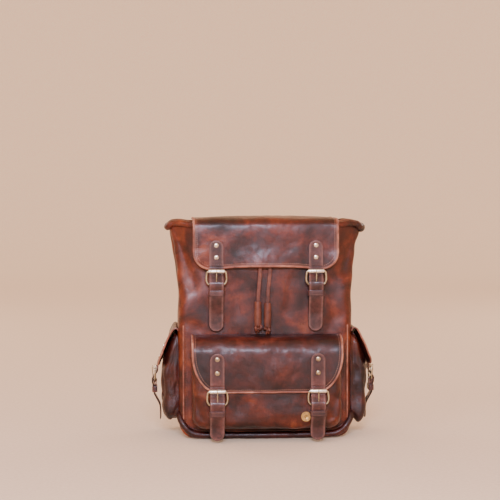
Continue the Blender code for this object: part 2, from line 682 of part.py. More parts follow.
def make_chape(name, parent, location):
    """The leather that folds round the bar, slotted for the prong, with the keeper sewn round its two ends."""
    y, z, r = -FRAME_PLANE, -FRAME_HEIGHT, CHAPE_EYE
    fold = [(y - r * math.cos(a), z + r * math.sin(a)) for a in (math.radians(d) for d in (180, 135, 90, 45, 0))]
    foot = z - CHAPE_FOOT
    behind, ahead = r - (FRAME_PLANE - CHAPE_BACK), r - (CHAPE_FRONT - FRAME_PLANE)
    path = [(-CHAPE_BACK, foot), (-CHAPE_BACK + behind * 0.15, z - 0.0065), (-CHAPE_BACK + behind * 0.6, z - 0.004)]
    path += fold
    path += [(-CHAPE_FRONT - ahead * share, z - down) for down, share in (
        (0.0040, 0.73), (0.0065, 0.41), (0.0105, 0.04), (CHAPE_FOOT, 0.0))]
    rows = [length_of(path[: i + 1]) for i in range(len(path))]
    slot = (rows[1], rows[-3])
    mesh = flap_mesh(name, path, CHAPE_HALF_WIDTH, lambda x: 0.0, 0.0, [-1, -0.24, 0.24, 1], holes=[slot])
    obj = place(bpy.data.objects.new(name, mesh), parent, location, strap_leather())
    solidify(obj, CHAPE_THICKNESS)

    t = CHAPE_THICKNESS
    half = STRAP_HALF_WIDTH + KEEPER_CLEARANCE
    back = -CHAPE_BACK + 0.0004
    front = -TAIL_KEPT - STRAP_THICKNESS / 2 - KEEPER_CLEARANCE
    loop = [(-half, back), (-half, front), (half, front), (half, back)]
    middle = [(a + math.copysign(t / 2, a), b + (t / 2 if b == back else -t / 2)) for a, b in loop]
    low, high = foot, foot + KEEPER_HEIGHT
    points = [(a, b, c) for c in (low, high) for a, b in middle]
    faces = [(i, (i + 1) % 4, 4 + (i + 1) % 4, 4 + i) for i in range(4)]
    ring = bpy.data.objects.new(name + "_keeper", mesh_of(name + "_keeper", points, faces))
    helpers.objects.link(ring)
    ring.parent = parent
    ring.location = location
    solidify(ring, t)
    ring.hide_render = True
    ring.display_type = "WIRE"
    return join(obj, ring)


def make_strap(name, foot, turn, tail, tab_length, flap_slope=0.0):
    """One buckled strap. foot is the point on the flap's face behind the roller, and the strap faces -Y there.

    flap_slope leans the tab back with a sloping flap, while the strap hangs straight.
    """
    stand = empty(f"{name}_foot", foot, turn=turn)
    tab = [(0.0, tab_length * share) for share in (0.0, 0.4, 0.75, 0.93, 1.0)]
    columns = [-1, -0.9, -0.6, -0.19, 0.19, 0.6, 0.9, 1]
    mesh = flap_mesh(f"{name}_tab", tab, STRAP_HALF_WIDTH, round_end(STRAP_HALF_WIDTH), 0.0, columns)
    holder = place(bpy.data.objects.new(f"{name}_tab", mesh), stand, (0.0, -STRAP_REST, TAB_END + GAP),
                   strap_leather())
    holder.rotation_euler = (-flap_slope, 0.0, 0.0)
    solidify(holder, STRAP_THICKNESS)

    swing = Vector((0.0, -(GAP + STRAP_THICKNESS), TAB_END))
    hinge = empty(f"{name}_swing", swing, stand)
    path = tail_path(tail)
    rows = [length_of(path[: i + 1]) for i in range(len(path))]
    opened = [(rows[4], rows[8])]
    columns = [-1, -0.9, -0.6, -PRONG_HOLE_HALF / STRAP_HALF_WIDTH, PRONG_HOLE_HALF / STRAP_HALF_WIDTH, 0.6, 0.9, 1]
    mesh = flap_mesh(f"{name}_tail", path, STRAP_HALF_WIDTH, round_end(STRAP_HALF_WIDTH), rows[16], columns,
                     holes=opened, origin=swing)
    solidify(place(bpy.data.objects.new(f"{name}_tail", mesh), hinge, (0, 0, 0), strap_leather()), STRAP_THICKNESS)

    make_frame(f"{name}_frame", hinge, -swing)
    bar = empty(f"{name}_bar", -swing, hinge)
    make_roller(f"{name}_roller", hinge, Vector((0.0, -FRAME_PLANE, 0.0)) - swing)
    make_prong(f"{name}_prong", bar)
    make_chape(f"{name}_chape", hinge, -swing)


def make_straps():
    for side, end in ((-1, "left"), (1, "right")):
        x = side * STRAP_SPACING / 2
        lid_foot = (x, LID_FACE, LID_LOWER_EDGE - LID_STRAP_OVERHANG)
        make_strap(f"lid_strap_{end}", lid_foot, 0.0, LID_STRAP_TAIL, LID_TAB_LENGTH)
        front_foot = (x, FLAP_FACE, FLAP_LOWER_EDGE - FRONT_STRAP_OVERHANG)
        make_strap(f"front_strap_{end}", front_foot, 0.0, FRONT_STRAP_TAIL, FRONT_TAB_LENGTH)
        side_foot = (side * SIDE_FACE, 0.0, SIDE_FLAP_LOWER_EDGE - SIDE_STRAP_OVERHANG)
        make_strap(f"side_strap_{end}", side_foot, side * math.radians(90), SIDE_STRAP_TAIL, SIDE_TAB_LENGTH,
                   SIDE_FLAP_SLOPE)


# ---------------------------------------------------------------- carrying straps and handle
def ribbon(name, points, widths, thickness, finish, side):
    """A strap that follows points in space. Its face looks back, square to its run."""
    path = [Vector((side * x, y, z)) for x, y, z in points]
    corners, faces = [], []
    for i, here in enumerate(path):
        run = (path[min(i + 1, len(path) - 1)] - path[max(i - 1, 0)]).normalized()
        across = run.cross(Vector((0.0, 1.0, 0.12))).normalized()
        corners += [here - across * widths[i], here + across * widths[i]]
    faces = [(2 * i, 2 * i + 1, 2 * i + 3, 2 * i + 2) for i in range(len(path) - 1)]
    pivot = Vector((side * TOP_ANCHOR[0], BACK + ANCHOR_REACH, TOP_ANCHOR[1]))
    obj = bpy.data.objects.new(name, mesh_of(name, corners, faces, pivot))
    return solidify(place(obj, None, pivot, finish), thickness)


def make_carrying_straps():
    x0, z0 = TOP_ANCHOR
    x1, z1 = LOW_ANCHOR
    y = BACK + ANCHOR_REACH + ANCHOR_OFFSET
    upper = [(x0, y, z0), (x0 + 0.001, y + 0.010, z0 - 0.003), (x0 + 0.005, y + 0.022, z0 - 0.018),
             (x0 + 0.013, y + 0.034, z0 - 0.050), (x0 + 0.025, y + 0.040, z0 - 0.100),
             (x0 + 0.037, y + 0.038, z0 - 0.150), (x0 + 0.047, y + 0.031, z0 - 0.200)]
    widths = [0.011, 0.013, 0.018, SHOULDER_HALF_WIDTH, SHOULDER_HALF_WIDTH, SHOULDER_HALF_WIDTH, 0.018]
    lower = [(x1 - 0.0185, y + 0.0305, z1 + 0.114), (x1 - 0.012, y + 0.023, z1 + 0.075),
             (x1 - 0.005, y + 0.012, z1 + 0.035), (x1 - 0.001, y + 0.004, z1 + 0.010), (x1, y + 0.0005, z1)]
    for side, end in ((-1, "left"), (1, "right")):
        ribbon(f"shoulder_strap_{end}", upper, widths, SHOULDER_THICKNESS, strap_leather(), side)
        ribbon(f"lower_strap_{end}", lower, [LOWER_STRAP_HALF_WIDTH] * 4 + [0.010], LOWER_STRAP_THICKNESS,
               strap_leather(), side)


def make_handle():
    """A rolled leather loop that hangs behind the bag from its two sewn ends."""
    w, drop = HANDLE_HALF_WIDTH, HANDLE_DROP
    pivot = (0.0, BACK + HANDLE_REACH, HANDLE_PIVOT)
    angles = [math.radians(180 + 180 * i / 10) for i in range(11)]
    route = [(w * math.cos(a), 0.0, -0.008 + (drop - 0.008) * math.sin(a)) for a in angles]
    route = [(-w, 0.0, -0.0022)] + route + [(w, 0.0, -0.0022)]
    tube("grab_handle", route, HANDLE_RADIUS, strap_leather(), None, pivot)


clear_scene()
bag = new_collection("leather_backpack")
helpers = new_collection("cutters")
make_panels()
make_sides()
make_lining()
make_mouth()
make_cords()
make_lid()
make_front_pocket()
make_side_pockets()
make_straps()
make_carrying_straps()
make_handle()
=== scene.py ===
import math

import bpy
from mathutils import Matrix, Vector, noise
from mathutils.bvhtree import BVHTree


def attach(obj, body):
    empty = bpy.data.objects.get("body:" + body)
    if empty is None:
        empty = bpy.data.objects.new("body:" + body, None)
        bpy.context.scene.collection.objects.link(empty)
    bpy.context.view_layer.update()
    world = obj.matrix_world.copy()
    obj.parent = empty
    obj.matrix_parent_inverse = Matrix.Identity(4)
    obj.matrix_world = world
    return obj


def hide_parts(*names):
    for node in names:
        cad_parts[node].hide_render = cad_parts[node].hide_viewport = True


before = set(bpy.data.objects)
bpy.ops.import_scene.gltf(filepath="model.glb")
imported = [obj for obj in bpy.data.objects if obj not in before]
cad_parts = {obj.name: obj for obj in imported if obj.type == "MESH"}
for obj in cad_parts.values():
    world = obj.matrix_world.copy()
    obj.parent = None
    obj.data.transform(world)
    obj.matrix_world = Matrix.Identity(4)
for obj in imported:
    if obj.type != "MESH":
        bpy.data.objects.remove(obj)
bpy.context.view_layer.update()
print("leather backpack: frame loaded")


# small tools for shaping

def mix(a, b, t):
    return a + (b - a) * t


def ease(t):
    t = min(1.0, max(0.0, t))
    return t * t * (3 - 2 * t)


def bump(distance, width):
    return math.exp(-(distance / width) ** 2)


def selectOnly(obj):
    if bpy.context.mode != "OBJECT":
        bpy.ops.object.mode_set(mode="OBJECT")
    bpy.ops.object.select_all(action="DESELECT")
    obj.select_set(True)
    bpy.context.view_layer.objects.active = obj


def editAll(obj):
    selectOnly(obj)
    bpy.ops.object.mode_set(mode="EDIT")
    bpy.ops.mesh.select_all(action="SELECT")


def leaveEdit():
    bpy.ops.object.mode_set(mode="OBJECT")


def editFaces(obj, wanted):
    # enters edit mode with just the faces for which wanted(face) holds
    selectOnly(obj)
    bpy.ops.object.mode_set(mode="EDIT")
    bpy.ops.mesh.select_mode(type="FACE")
    bpy.ops.mesh.select_all(action="DESELECT")
    leaveEdit()
    for face in obj.data.polygons:
        face.select = wanted(face)
    bpy.ops.object.mode_set(mode="EDIT")


def modify(obj, kind, **settings):
    # adds one modifier and applies it straight away
    selectOnly(obj)
    modifier = obj.modifiers.new(kind.lower(), kind)
    for key, value in settings.items():
        setattr(modifier, key, value)
    bpy.ops.object.modifier_apply(modifier=modifier.name)
    return obj


def roundEdges(obj, width, segments=2, angle=50):
    # rounds the edges that turn more than the angle
    modify(obj, "BEVEL", width=width, segments=segments, limit_method="ANGLE", angle_limit=math.radians(angle))


def smoothShade(obj, angle=50):
    selectOnly(obj)
    bpy.ops.object.shade_smooth_by_angle(angle=math.radians(angle))
    return obj


def shapedGrid(name, columns, rows, place, closed=False):
    # a grid whose points are moved one by one, from (across, along) in 0 to 1 to a place in space
    bpy.ops.object.select_all(action="DESELECT")
    bpy.ops.mesh.primitive_grid_add(x_subdivisions=columns, y_subdivisions=rows, size=1, location=(0, 0, 0))
    obj = bpy.context.object
    obj.name = name
    for vertex in obj.data.vertices:
        vertex.co = place(vertex.co.x + 0.5, vertex.co.y + 0.5)
    if closed:
        editAll(obj)
        bpy.ops.mesh.remove_doubles(threshold=0.00002)
        bpy.ops.mesh.normals_make_consistent(inside=False)
        leaveEdit()
    return obj


def smoothLine(points, count, closed=False):
    # a smooth line through the points, read off at an even spacing
    points = [Vector(p) for p in points]
    if closed:
        ends = [points[-1]] + points + [points[0], points[1]]
    else:
        ends = [points[0] * 2 - points[1]] + points + [points[-1] * 2 - points[-2]]
    line = []
    for a, b, c, d in zip(ends, ends[1:], ends[2:], ends[3:]):
        for i in range(10):
            t = i / 10
            line.append(0.5 * (2 * b + (c - a) * t + (2 * a - 5 * b + 4 * c - d) * t * t
                               + (3 * b - a - 3 * c + d) * t ** 3))
    line.append(ends[-2])
    return evenly(line, count)


def evenly(line, count):
    steps = [0.0]
    for a, b in zip(line, line[1:]):
        steps.append(steps[-1] + (b - a).length)
    out, at = [], 0
    for i in range(count + 1):
        want = steps[-1] * i / count
        while at < len(steps) - 2 and steps[at + 1] < want:
            at += 1
        part = (want - steps[at]) / max(steps[at + 1] - steps[at], 1e-9)
        out.append(line[at].lerp(line[at + 1], part))
    return out


def lineLength(line):
    return sum((b - a).length for a, b in zip(line, line[1:]))


def tube(name, line, radius, closed=False, sides=3, radii=None):
    # a round cord, wire or piping along a line, made a mesh
    bpy.ops.object.select_all(action="DESELECT")
    curve = bpy.data.curves.new(name, "CURVE")
    curve.dimensions = "3D"
    curve.bevel_depth = radius
    curve.bevel_resolution = sides
    curve.use_fill_caps = not closed
    spline = curve.splines.new("POLY")
    spline.points.add(len(line) - 1)
    for i, p in enumerate(line):
        spline.points[i].co = (*p, 1)
        spline.points[i].radius = radii[i] if radii else 1.0
    spline.use_cyclic_u = closed
    obj = bpy.data.objects.new(name, curve)
    bpy.context.scene.collection.objects.link(obj)
    selectOnly(obj)
    bpy.ops.object.convert(target="MESH")
    obj = bpy.context.object
    editAll(obj)
    bpy.ops.mesh.remove_doubles(threshold=0.00001)
    bpy.ops.mesh.normals_make_consistent(inside=False)
    leaveEdit()
    bpy.ops.object.shade_smooth()
    return obj


def surfaceOf(obj):
    return BVHTree.FromObject(obj, bpy.context.evaluated_depsgraph_get())


def onSurface(skin, point, towards):
    # where a ray from the point first meets the surface, with the surface's normal turned to face the ray
    direction = Vector(towards).normalized()
    place, normal, index, distance = skin.ray_cast(Vector(point), direction)
    if place is None:
        place, normal, index, distance = skin.find_nearest(Vector(point))
    return place, -normal if normal.dot(direction) > 0 else normal


def joinPieces(name, pieces):
    bpy.ops.object.select_all(action="DESELECT")
    for piece in pieces:
        piece.select_set(True)
    bpy.context.view_layer.objects.active = pieces[0]
    bpy.ops.object.join()
    obj = bpy.context.object
    obj.name = name
    return obj


def copiesOf(name, pattern, places):
    # one mesh of many copies of a small pattern, each at its own matrix
    points, faces = [], []
    corners = [v.co.copy() for v in pattern.data.vertices]
    polygons = [tuple(p.vertices) for p in pattern.data.polygons]
    for matrix in places:
        first = len(points)
        points += [matrix @ corner for corner in corners]
        faces += [tuple(first + i for i in polygon) for polygon in polygons]
    mesh = bpy.data.meshes.new(name)
    mesh.from_pydata(points, [], faces)
    obj = bpy.data.objects.new(name, mesh)
    bpy.context.scene.collection.objects.link(obj)
    selectOnly(obj)
    bpy.ops.object.shade_smooth()
    return obj


def standing(place, along, normal):
    # the matrix of something that lies at a place, with x along a line and z on the surface's normal
    z = normal.normalized()
    x = (along - z * along.dot(z)).normalized()
    y = z.cross(x)
    return Matrix(((x.x, y.x, z.x, place.x), (x.y, y.y, z.y, place.y), (x.z, y.z, z.z, place.z), (0, 0, 0, 1)))


def finish(obj, body, look, slot, *replaced):
    # dresses a finished piece, parents it to what it rides on, and hides the solids it stands for
    obj.data.materials.clear()
    obj.data.materials.append(look)
    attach(obj, body)
    if replaced:
        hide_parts(*replaced)
    return obj


# camera

view = {"lens": 102, "distance": 2.60, "turn": -4.0, "height": 0.47, "aim": (-0.0290, -0.08, 0.3405)}


def setUpCamera():
    data = bpy.data.cameras.new("camera")
    data.lens = view["lens"]
    data.sensor_width = 36
    camera = bpy.data.objects.new("camera", data)
    bpy.context.scene.collection.objects.link(camera)
    turn = math.radians(view["turn"])
    camera.location = (math.sin(turn) * view["distance"], -math.cos(turn) * view["distance"], view["height"])
    camera.rotation_euler = (Vector(view["aim"]) - camera.location).to_track_quat("-Z", "Y").to_euler()
    bpy.context.scene.camera = camera


setUpCamera()


# materials

def colour(code):
    # sRGB hex to linear
    parts = [int(code[i:i + 2], 16) / 255 for i in (1, 3, 5)]
    return tuple(c / 12.92 if c <= 0.04045 else ((c + 0.055) / 1.055) ** 2.4 for c in parts) + (1.0,)


def addNode(tree, kind, settings=None, **inputs):
    # one node with its settings; an input is a value, or another node's output to link
    node = tree.nodes.new("ShaderNode" + kind)
    for key, value in (settings or {}).items():
        setattr(node, key, value)
    for key, value in inputs.items():
        numbered = key[0] == "i" and key[1:].isdigit()
        socket = node.inputs[int(key[1:]) if numbered else key.replace("_", " ")]
        if isinstance(value, bpy.types.NodeSocket):
            tree.links.new(value, socket)
        else:
            socket.default_value = value
    return node


def ramp(tree, fac, stops):
    node = addNode(tree, "ValToRGB", i0=fac)
    elements = node.color_ramp.elements
    while len(elements) < len(stops):
        elements.new(0.5)
    for element, (place, tone) in zip(elements, stops):
        element.position = place
        element.color = colour(tone) if isinstance(tone, str) else (tone, tone, tone, 1.0)
    return node.outputs["Color"]


def blank(name, roughness, metallic=0.0, coat=0.0, coatRoughness=0.2, sheen=0.0, specular=0.5):
    look = bpy.data.materials.new(name)
    look.use_nodes = True
    shader = look.node_tree.nodes["Principled BSDF"]
    shader.inputs["Roughness"].default_value = roughness
    shader.inputs["Metallic"].default_value = metallic
    shader.inputs["Coat Weight"].default_value = coat
    shader.inputs["Coat Roughness"].default_value = coatRoughness
    shader.inputs["Sheen Weight"].default_value = sheen
    shader.inputs["Specular IOR Level"].default_value = specular
    return look, look.node_tree, shader


def waxedLeather(name, tones, grain=1.0, crease=1.0, gloss=0.34, coat=0.12, mottle=1.0, turn=0.0):
    # Pull-up cowhide, waxed and hand-rubbed. The wax moves when the hide is bent, so the colour runs from
    # nearly black to rust in soft patches, the high spots shine, and the face keeps its pores and creases.
    look, tree, shader = blank(name, gloss, coat=coat, coatRoughness=0.22, specular=0.34)
    place = addNode(tree, "TexCoord").outputs["Object"]
    place = addNode(tree, "Mapping", Vector=place, Rotation=(0, 0, turn),
                    Location=(0.37, 0.11, 0.05)).outputs[0]
    # patches of 40 to 90 mm, rubbed lighter and darker
    wide = addNode(tree, "TexNoise", Vector=place, Scale=15.0 * mottle, Detail=5.0, Roughness=0.58,
                   Distortion=0.6)
    patch = ramp(tree, wide.outputs["Fac"], list(zip((0.28, 0.43, 0.56, 0.72), tones)))
    # cloudy spots of 5 to 15 mm
    spots = addNode(tree, "TexNoise", Vector=place, Scale=75.0 * mottle, Detail=6.0, Roughness=0.65)
    cloud = ramp(tree, spots.outputs["Fac"], [(0.34, 0.42), (0.50, 0.85), (0.66, 1.25)])
    tinted = addNode(tree, "Mix", {"data_type": "RGBA", "blend_type": "MULTIPLY"}, i0=0.80, i6=patch, i7=cloud)
    # pores: full-grain cells of about 1.1 mm, drawn a little coarser than life so that they show
    warp = addNode(tree, "TexNoise", Vector=place, Scale=260.0, Detail=2.0)
    bent = addNode(tree, "VectorMath", {"operation": "MULTIPLY_ADD"}, i0=warp.outputs["Color"],
                   i1=(0.0012, 0.0012, 0.0012), i2=place)
    cells = addNode(tree, "TexVoronoi", {"feature": "DISTANCE_TO_EDGE"}, Vector=bent.outputs[0], Scale=620.0)
    pore = ramp(tree, cells.outputs["Distance"], [(0.0, 0.0), (0.12, 0.75), (0.35, 1.0)])
    # creases: long fine lines where the hide has been folded
    fold = addNode(tree, "TexNoise", {"noise_type": "RIDGED_MULTIFRACTAL"}, Vector=place, Scale=34.0,
                   Detail=7.0, Roughness=0.62, Lacunarity=2.1, Distortion=0.35)
    crack = ramp(tree, fold.outputs["Fac"], [(0.10, 0.0), (0.55, 0.6), (1.0, 1.0)])
    darker = addNode(tree, "Mix", {"data_type": "RGBA", "blend_type": "MULTIPLY"}, i0=0.30,
                     i6=tinted.outputs[2], i7=pore)
    # the colour goes darker along the fold lines
    shade = ramp(tree, fold.outputs["Fac"], [(0.0, 1.0), (0.55, 0.95), (1.0, 0.45)])
    folded = addNode(tree, "Mix", {"data_type": "RGBA", "blend_type": "MULTIPLY"}, i0=0.35 * crease,
                     i6=darker.outputs[2], i7=shade)
    # rubbed edges go paler, where the piece says so in its wear attribute
    wear = addNode(tree, "Attribute", {"attribute_name": "wear"}).outputs["Fac"]
    rubbed = addNode(tree, "Math", {"operation": "MULTIPLY"}, i0=wear, i1=spots.outputs["Fac"])
    worn = addNode(tree, "Mix", {"data_type": "RGBA"}, i0=rubbed.outputs[0], i6=folded.outputs[2],
                   i7=colour(tones[4]))
    tree.links.new(worn.outputs[2], shader.inputs["Base Color"])
    dull = addNode(tree, "MapRange", Value=wide.outputs["Fac"], i1=0.25, i2=0.75, i3=gloss + 0.14,
                   i4=gloss - 0.08)
    fine = addNode(tree, "Math", {"operation": "MULTIPLY_ADD"}, i0=spots.outputs["Fac"], i1=0.22, i2=-0.11)
    rough = addNode(tree, "Math", {"operation": "ADD"}, i0=dull.outputs[0], i1=fine.outputs[0])
    tree.links.new(rough.outputs[0], shader.inputs["Roughness"])
    low = addNode(tree, "Bump", Strength=0.55 * crease, Distance=0.0011, Height=crack)
    mid = addNode(tree, "Bump", Strength=0.30 * crease, Distance=0.0016, Height=spots.outputs["Fac"],
                  Normal=low.outputs[0])
    top = addNode(tree, "Bump", Strength=0.35 * grain, Distance=0.00035, Height=pore, Normal=mid.outputs[0])
    tree.links.new(top.outputs[0], shader.inputs["Normal"])
    return look


def agedMetal(name, bright, dark, rough):
    # cast zinc plated with antique brass: nearly white-gold where it is handled, browner in the patina
    look, tree, shader = blank(name, rough, metallic=1.0)
    place = addNode(tree, "TexCoord").outputs["Object"]
    patina = addNode(tree, "TexNoise", Vector=place, Scale=210.0, Detail=5.0, Roughness=0.6)
    tone = ramp(tree, patina.outputs["Fac"], [(0.30, dark), (0.48, bright), (1.0, bright)])
    tree.links.new(tone, shader.inputs["Base Color"])
    scratch = addNode(tree, "TexNoise", Vector=place, Scale=900.0, Detail=3.0)
    grit = addNode(tree, "MapRange", Value=scratch.outputs["Fac"], i1=0.3, i2=0.7, i3=rough - 0.06,
                   i4=rough + 0.12)
    tree.links.new(grit.outputs[0], shader.inputs["Roughness"])
    dent = addNode(tree, "Bump", Strength=0.18, Distance=0.0003, Height=patina.outputs["Fac"])
    tree.links.new(dent.outputs[0], shader.inputs["Normal"])
    return look


def wovenCotton(name, light, dark):
    # plain-woven cotton lining: threads about 0.7 mm apart, drawn twice as coarse so that they show
    look, tree, shader = blank(name, 0.9, sheen=0.25)
    place = addNode(tree, "TexCoord").outputs["Object"]
    threads = []
    for axis in ("X", "Z"):
        threads.append(addNode(tree, "TexWave", {"bands_direction": axis}, Vector=place, Scale=225.0,
                               Distortion=0.6, Detail=1.0).outputs["Fac"])
    weave = addNode(tree, "Math", {"operation": "MULTIPLY"}, i0=threads[0], i1=threads[1])
    tone = ramp(tree, weave.outputs[0], [(0.0, dark), (0.6, light)])
    tree.links.new(tone, shader.inputs["Base Color"])
    raised = addNode(tree, "Bump", Strength=0.5, Distance=0.0004, Height=weave.outputs[0])
    tree.links.new(raised.outputs[0], shader.inputs["Normal"])
    return look


def waxedThread(name, tone):
    # twisted polyester sewing thread with a little wax on it
    look, tree, shader = blank(name, 0.55, sheen=0.2)
    place = addNode(tree, "TexCoord").outputs["Object"]
    twist = addNode(tree, "TexNoise", Vector=place, Scale=1500.0, Detail=2.0)
    shade = ramp(tree, twist.outputs["Fac"], [(0.3, tone[0]), (0.7, tone[1])])
    tree.links.new(shade, shader.inputs["Base Color"])
    return look


rust = ("#1a0805", "#3d140b", "#602212", "#8b4020", "#ae7358")
umber = ("#190603", "#3a1108", "#5a200e", "#83401e", "#a3694f")
cherry = ("#150607", "#2d0f0d", "#471a13", "#662d1f", "#935b4b")
plum = ("#291214", "#40201f", "#562e2b", "#6d3f3c", "#8a5e56")
tan = ("#7e4639", "#985c4a", "#ae7059", "#c48a72", "#d3a28c")

bodyLeather = waxedLeather("rustPullUpLeather", rust)
frontLeather = waxedLeather("umberPullUpLeather", umber, turn=0.3)
pocketLeather = waxedLeather("cherryPullUpLeather", cherry, crease=1.2, turn=0.6)
strapLeather = waxedLeather("plumStrapLeather", plum, grain=0.8, crease=0.7, gloss=0.34, mottle=1.6, coat=0.30)
pipingLeather = waxedLeather("tanPipingLeather", tan, grain=0.6, crease=0.5, gloss=0.45, coat=0.1, mottle=1.6)
cordLeather = waxedLeather("tanLaceLeather", ("#522519", "#6b3626", "#7f4633", "#965945", "#bb876c"), grain=0.4,
                           crease=0.3, gloss=0.40, coat=0.15, mottle=1.2)
buckleMetal = agedMetal("antiqueBrassPlate", "#bdb295", "#6f6142", 0.28)
rollerMetal = agedMetal("rubbedNickelRoller", "#f2ede0", "#c4b898", 0.30)
rivetMetal = agedMetal("nickelRivetCap", "#d9cfbe", "#7d6a52", 0.22)
snapMetal = agedMetal("brassSnapPlate", "#cdb077", "#7d6238", 0.30)
liningCotton = wovenCotton("tanCottonLining", "#8a6b48", "#4e3a26")
seamThread = waxedThread("brownSeamThread", ("#4a2a20", "#6e4434"))
# pale thread whose lightness is a painted highlight on the stitches; the thread itself is the brown of the
# other seams
highlightPaleThread = waxedThread("paleSeamThreadPaintedHighlight", ("#8d5c46", "#b88468"))
darkRivetMetal = agedMetal("patinatedBronzeRivetCap", "#b3a488", "#55452f", 0.30)
edgePaint = waxedLeather("burnishedStrapEdge", ("#0e0605", "#190b09", "#26120f", "#371d15", "#553428"),
                         grain=0.3, crease=0.3, gloss=0.26, coat=0.4, mottle=2.0)
print("materials ready")


# drawstring ends, first of the soft pieces

laces = {
    "width": 0.0066, "thickness": 0.0024,
    # the routes of the two ends, from the hem down to the sleeves
    "left": [(-0.0080, -0.0731, 0.3780), (-0.0082, -0.0731, 0.3636), (-0.0086, -0.0732, 0.3479),
             (-0.0090, -0.0732, 0.3322), (-0.0094, -0.0733, 0.3177), (-0.0102, -0.0734, 0.3046),
             (-0.0112, -0.0736, 0.2902), (-0.0124, -0.0738, 0.2758), (-0.0136, -0.0740, 0.2614),
             (-0.0145, -0.0742, 0.2470)],
    "right": [(0.0080, -0.0731, 0.3780), (0.0082, -0.0731, 0.3636), (0.0084, -0.0732, 0.3479),
              (0.0083, -0.0732, 0.3322), (0.0080, -0.0733, 0.3177), (0.0073, -0.0734, 0.3046),
              (0.0062, -0.0736, 0.2902), (0.0048, -0.0738, 0.2758), (0.0036, -0.0740, 0.2614),
              (0.0028, -0.0742, 0.2444)],
}
sleeve = {"radius": 0.0060, "flat": 0.66, "length": 0.043, "wall": 0.0012}


def ribbonAlong(name, line, width, thickness, normal, columns):
    # a flat strip of leather that follows a line, with rounded edges
    rows = len(line) - 1

    def place(across, along):
        i = round(along * rows)
        ahead = (line[min(i + 1, rows)] - line[max(i - 1, 0)]).normalized()
        side = ahead.cross(Vector(normal)).normalized()
        return line[i] + side * (across - 0.5) * width

    obj = shapedGrid(name, columns, rows, place)
    modify(obj, "SOLIDIFY", thickness=thickness, offset=0.0)
    roundEdges(obj, thickness * 0.3)
    return smoothShade(obj)


def makeLaces():
    for side in ("left", "right"):
        line = smoothLine(laces[side], 40)
        lace = ribbonAlong(f"drawstringLace_{side}", line, laces["width"], laces["thickness"], (0, -1, 0), 4)
        finish(lace, "bag", cordLeather, "strap_leather", f"drawstring_end_{side}")
        end = line[-1]
        barrel = makeSleeve(f"laceSleeve_{side}", end)
        knot = makeKnot(f"laceKnot_{side}", end + Vector((0, -0.0004, -sleeve["length"] - 0.0038)),
                        0.5 if side == "left" else -0.8)
        finish(barrel, "bag", cordLeather, "strap_leather", f"drawstring_sleeve_{side}")
        finish(knot, "bag", cordLeather, "strap_leather")
        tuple(line[0])
        lineLength(line)


def makeSleeve(name, top):
    # a strip of leather rolled into a flat barrel, with its seam down the front
    def place(across, along):
        angle = math.radians(-82 + 344 * across)
        spiral = 1.0 + 0.10 * across
        r = sleeve["radius"] * spiral * (1 - 0.05 * math.cos(2 * math.pi * along))
        x = r * math.sin(angle)
        y = -r * math.cos(angle) * sleeve["flat"]
        return Vector((top.x + x, top.y - 0.0006 + y, top.z + 0.001 - (sleeve["length"] + 0.001) * along))

    obj = shapedGrid(name, 32, 14, place)
    modify(obj, "SOLIDIFY", thickness=sleeve["wall"], offset=1.0)
    roundEdges(obj, 0.0003)
    return smoothShade(obj)


def makeKnot(name, centre, twist):
    # an overhand knot: two turns of the lace round each other, and two frayed ends below
    turns = []
    for i in range(40):
        a = 2 * math.pi * i / 40
        turns.append(centre + Vector((0.0046 * math.sin(a + twist) + 0.0012 * math.sin(2 * a),
                                      0.0018 * math.cos(2 * a + twist) - 0.0012,
                                      0.0040 * math.cos(a) + 0.0014 * math.sin(3 * a))))
    pieces = [tube(name, turns, 0.0026, closed=True, sides=3)]
    band = [centre + Vector((0.0030 * math.cos(a), 0.0034 * math.sin(a), 0.0012 * math.cos(2 * a)))
            for a in [2 * math.pi * i / 24 for i in range(24)]]
    pieces.append(tube(name + "Band", band, 0.0017, closed=True, sides=2))
    for lean, reach in ((-0.35, 0.0085), (0.30, 0.0070)):
        tip = [centre + Vector((math.sin(lean) * reach * t, -0.0006, -reach * t - 0.001))
               for t in (0.0, 0.35, 0.7, 1.0)]
        pieces.append(tube(name + "Tip", tip, 0.0019, sides=2, radii=[1.0, 1.0, 0.85, 0.5]))
    return joinPieces(name, pieces)


makeLaces()
print("drawstring ends hang from the hem")


# the bag's body

bag = {
    "top": 0.383, "wall": 0.0024, "halfDepth": 0.0700, "cornerRadius": 0.017, "baseTurn": 0.030,
    "columns": 144, "rows": 66,
    # half width of the bag at some heights
    "widths": [(0.0, 0.1555), (0.040, 0.1555), (0.120, 0.1560), (0.200, 0.1580), (0.255, 0.1570),
               (0.300, 0.1615), (0.345, 0.1675), (0.372, 0.1720), (0.390, 0.1745)],
    "mouthPinch": 0.50, "mouthFold": 0.036, "foldFrom": 0.215,
}


def between(table, at):
    for (a, x), (b, y) in zip(table, table[1:]):
        if at <= b:
            return mix(x, y, ease((at - a) / (b - a)))
    return table[-1][1]


def mouthShare(z):
    return ease((z - bag["foldFrom"]) / (0.378 - bag["foldFrom"]))


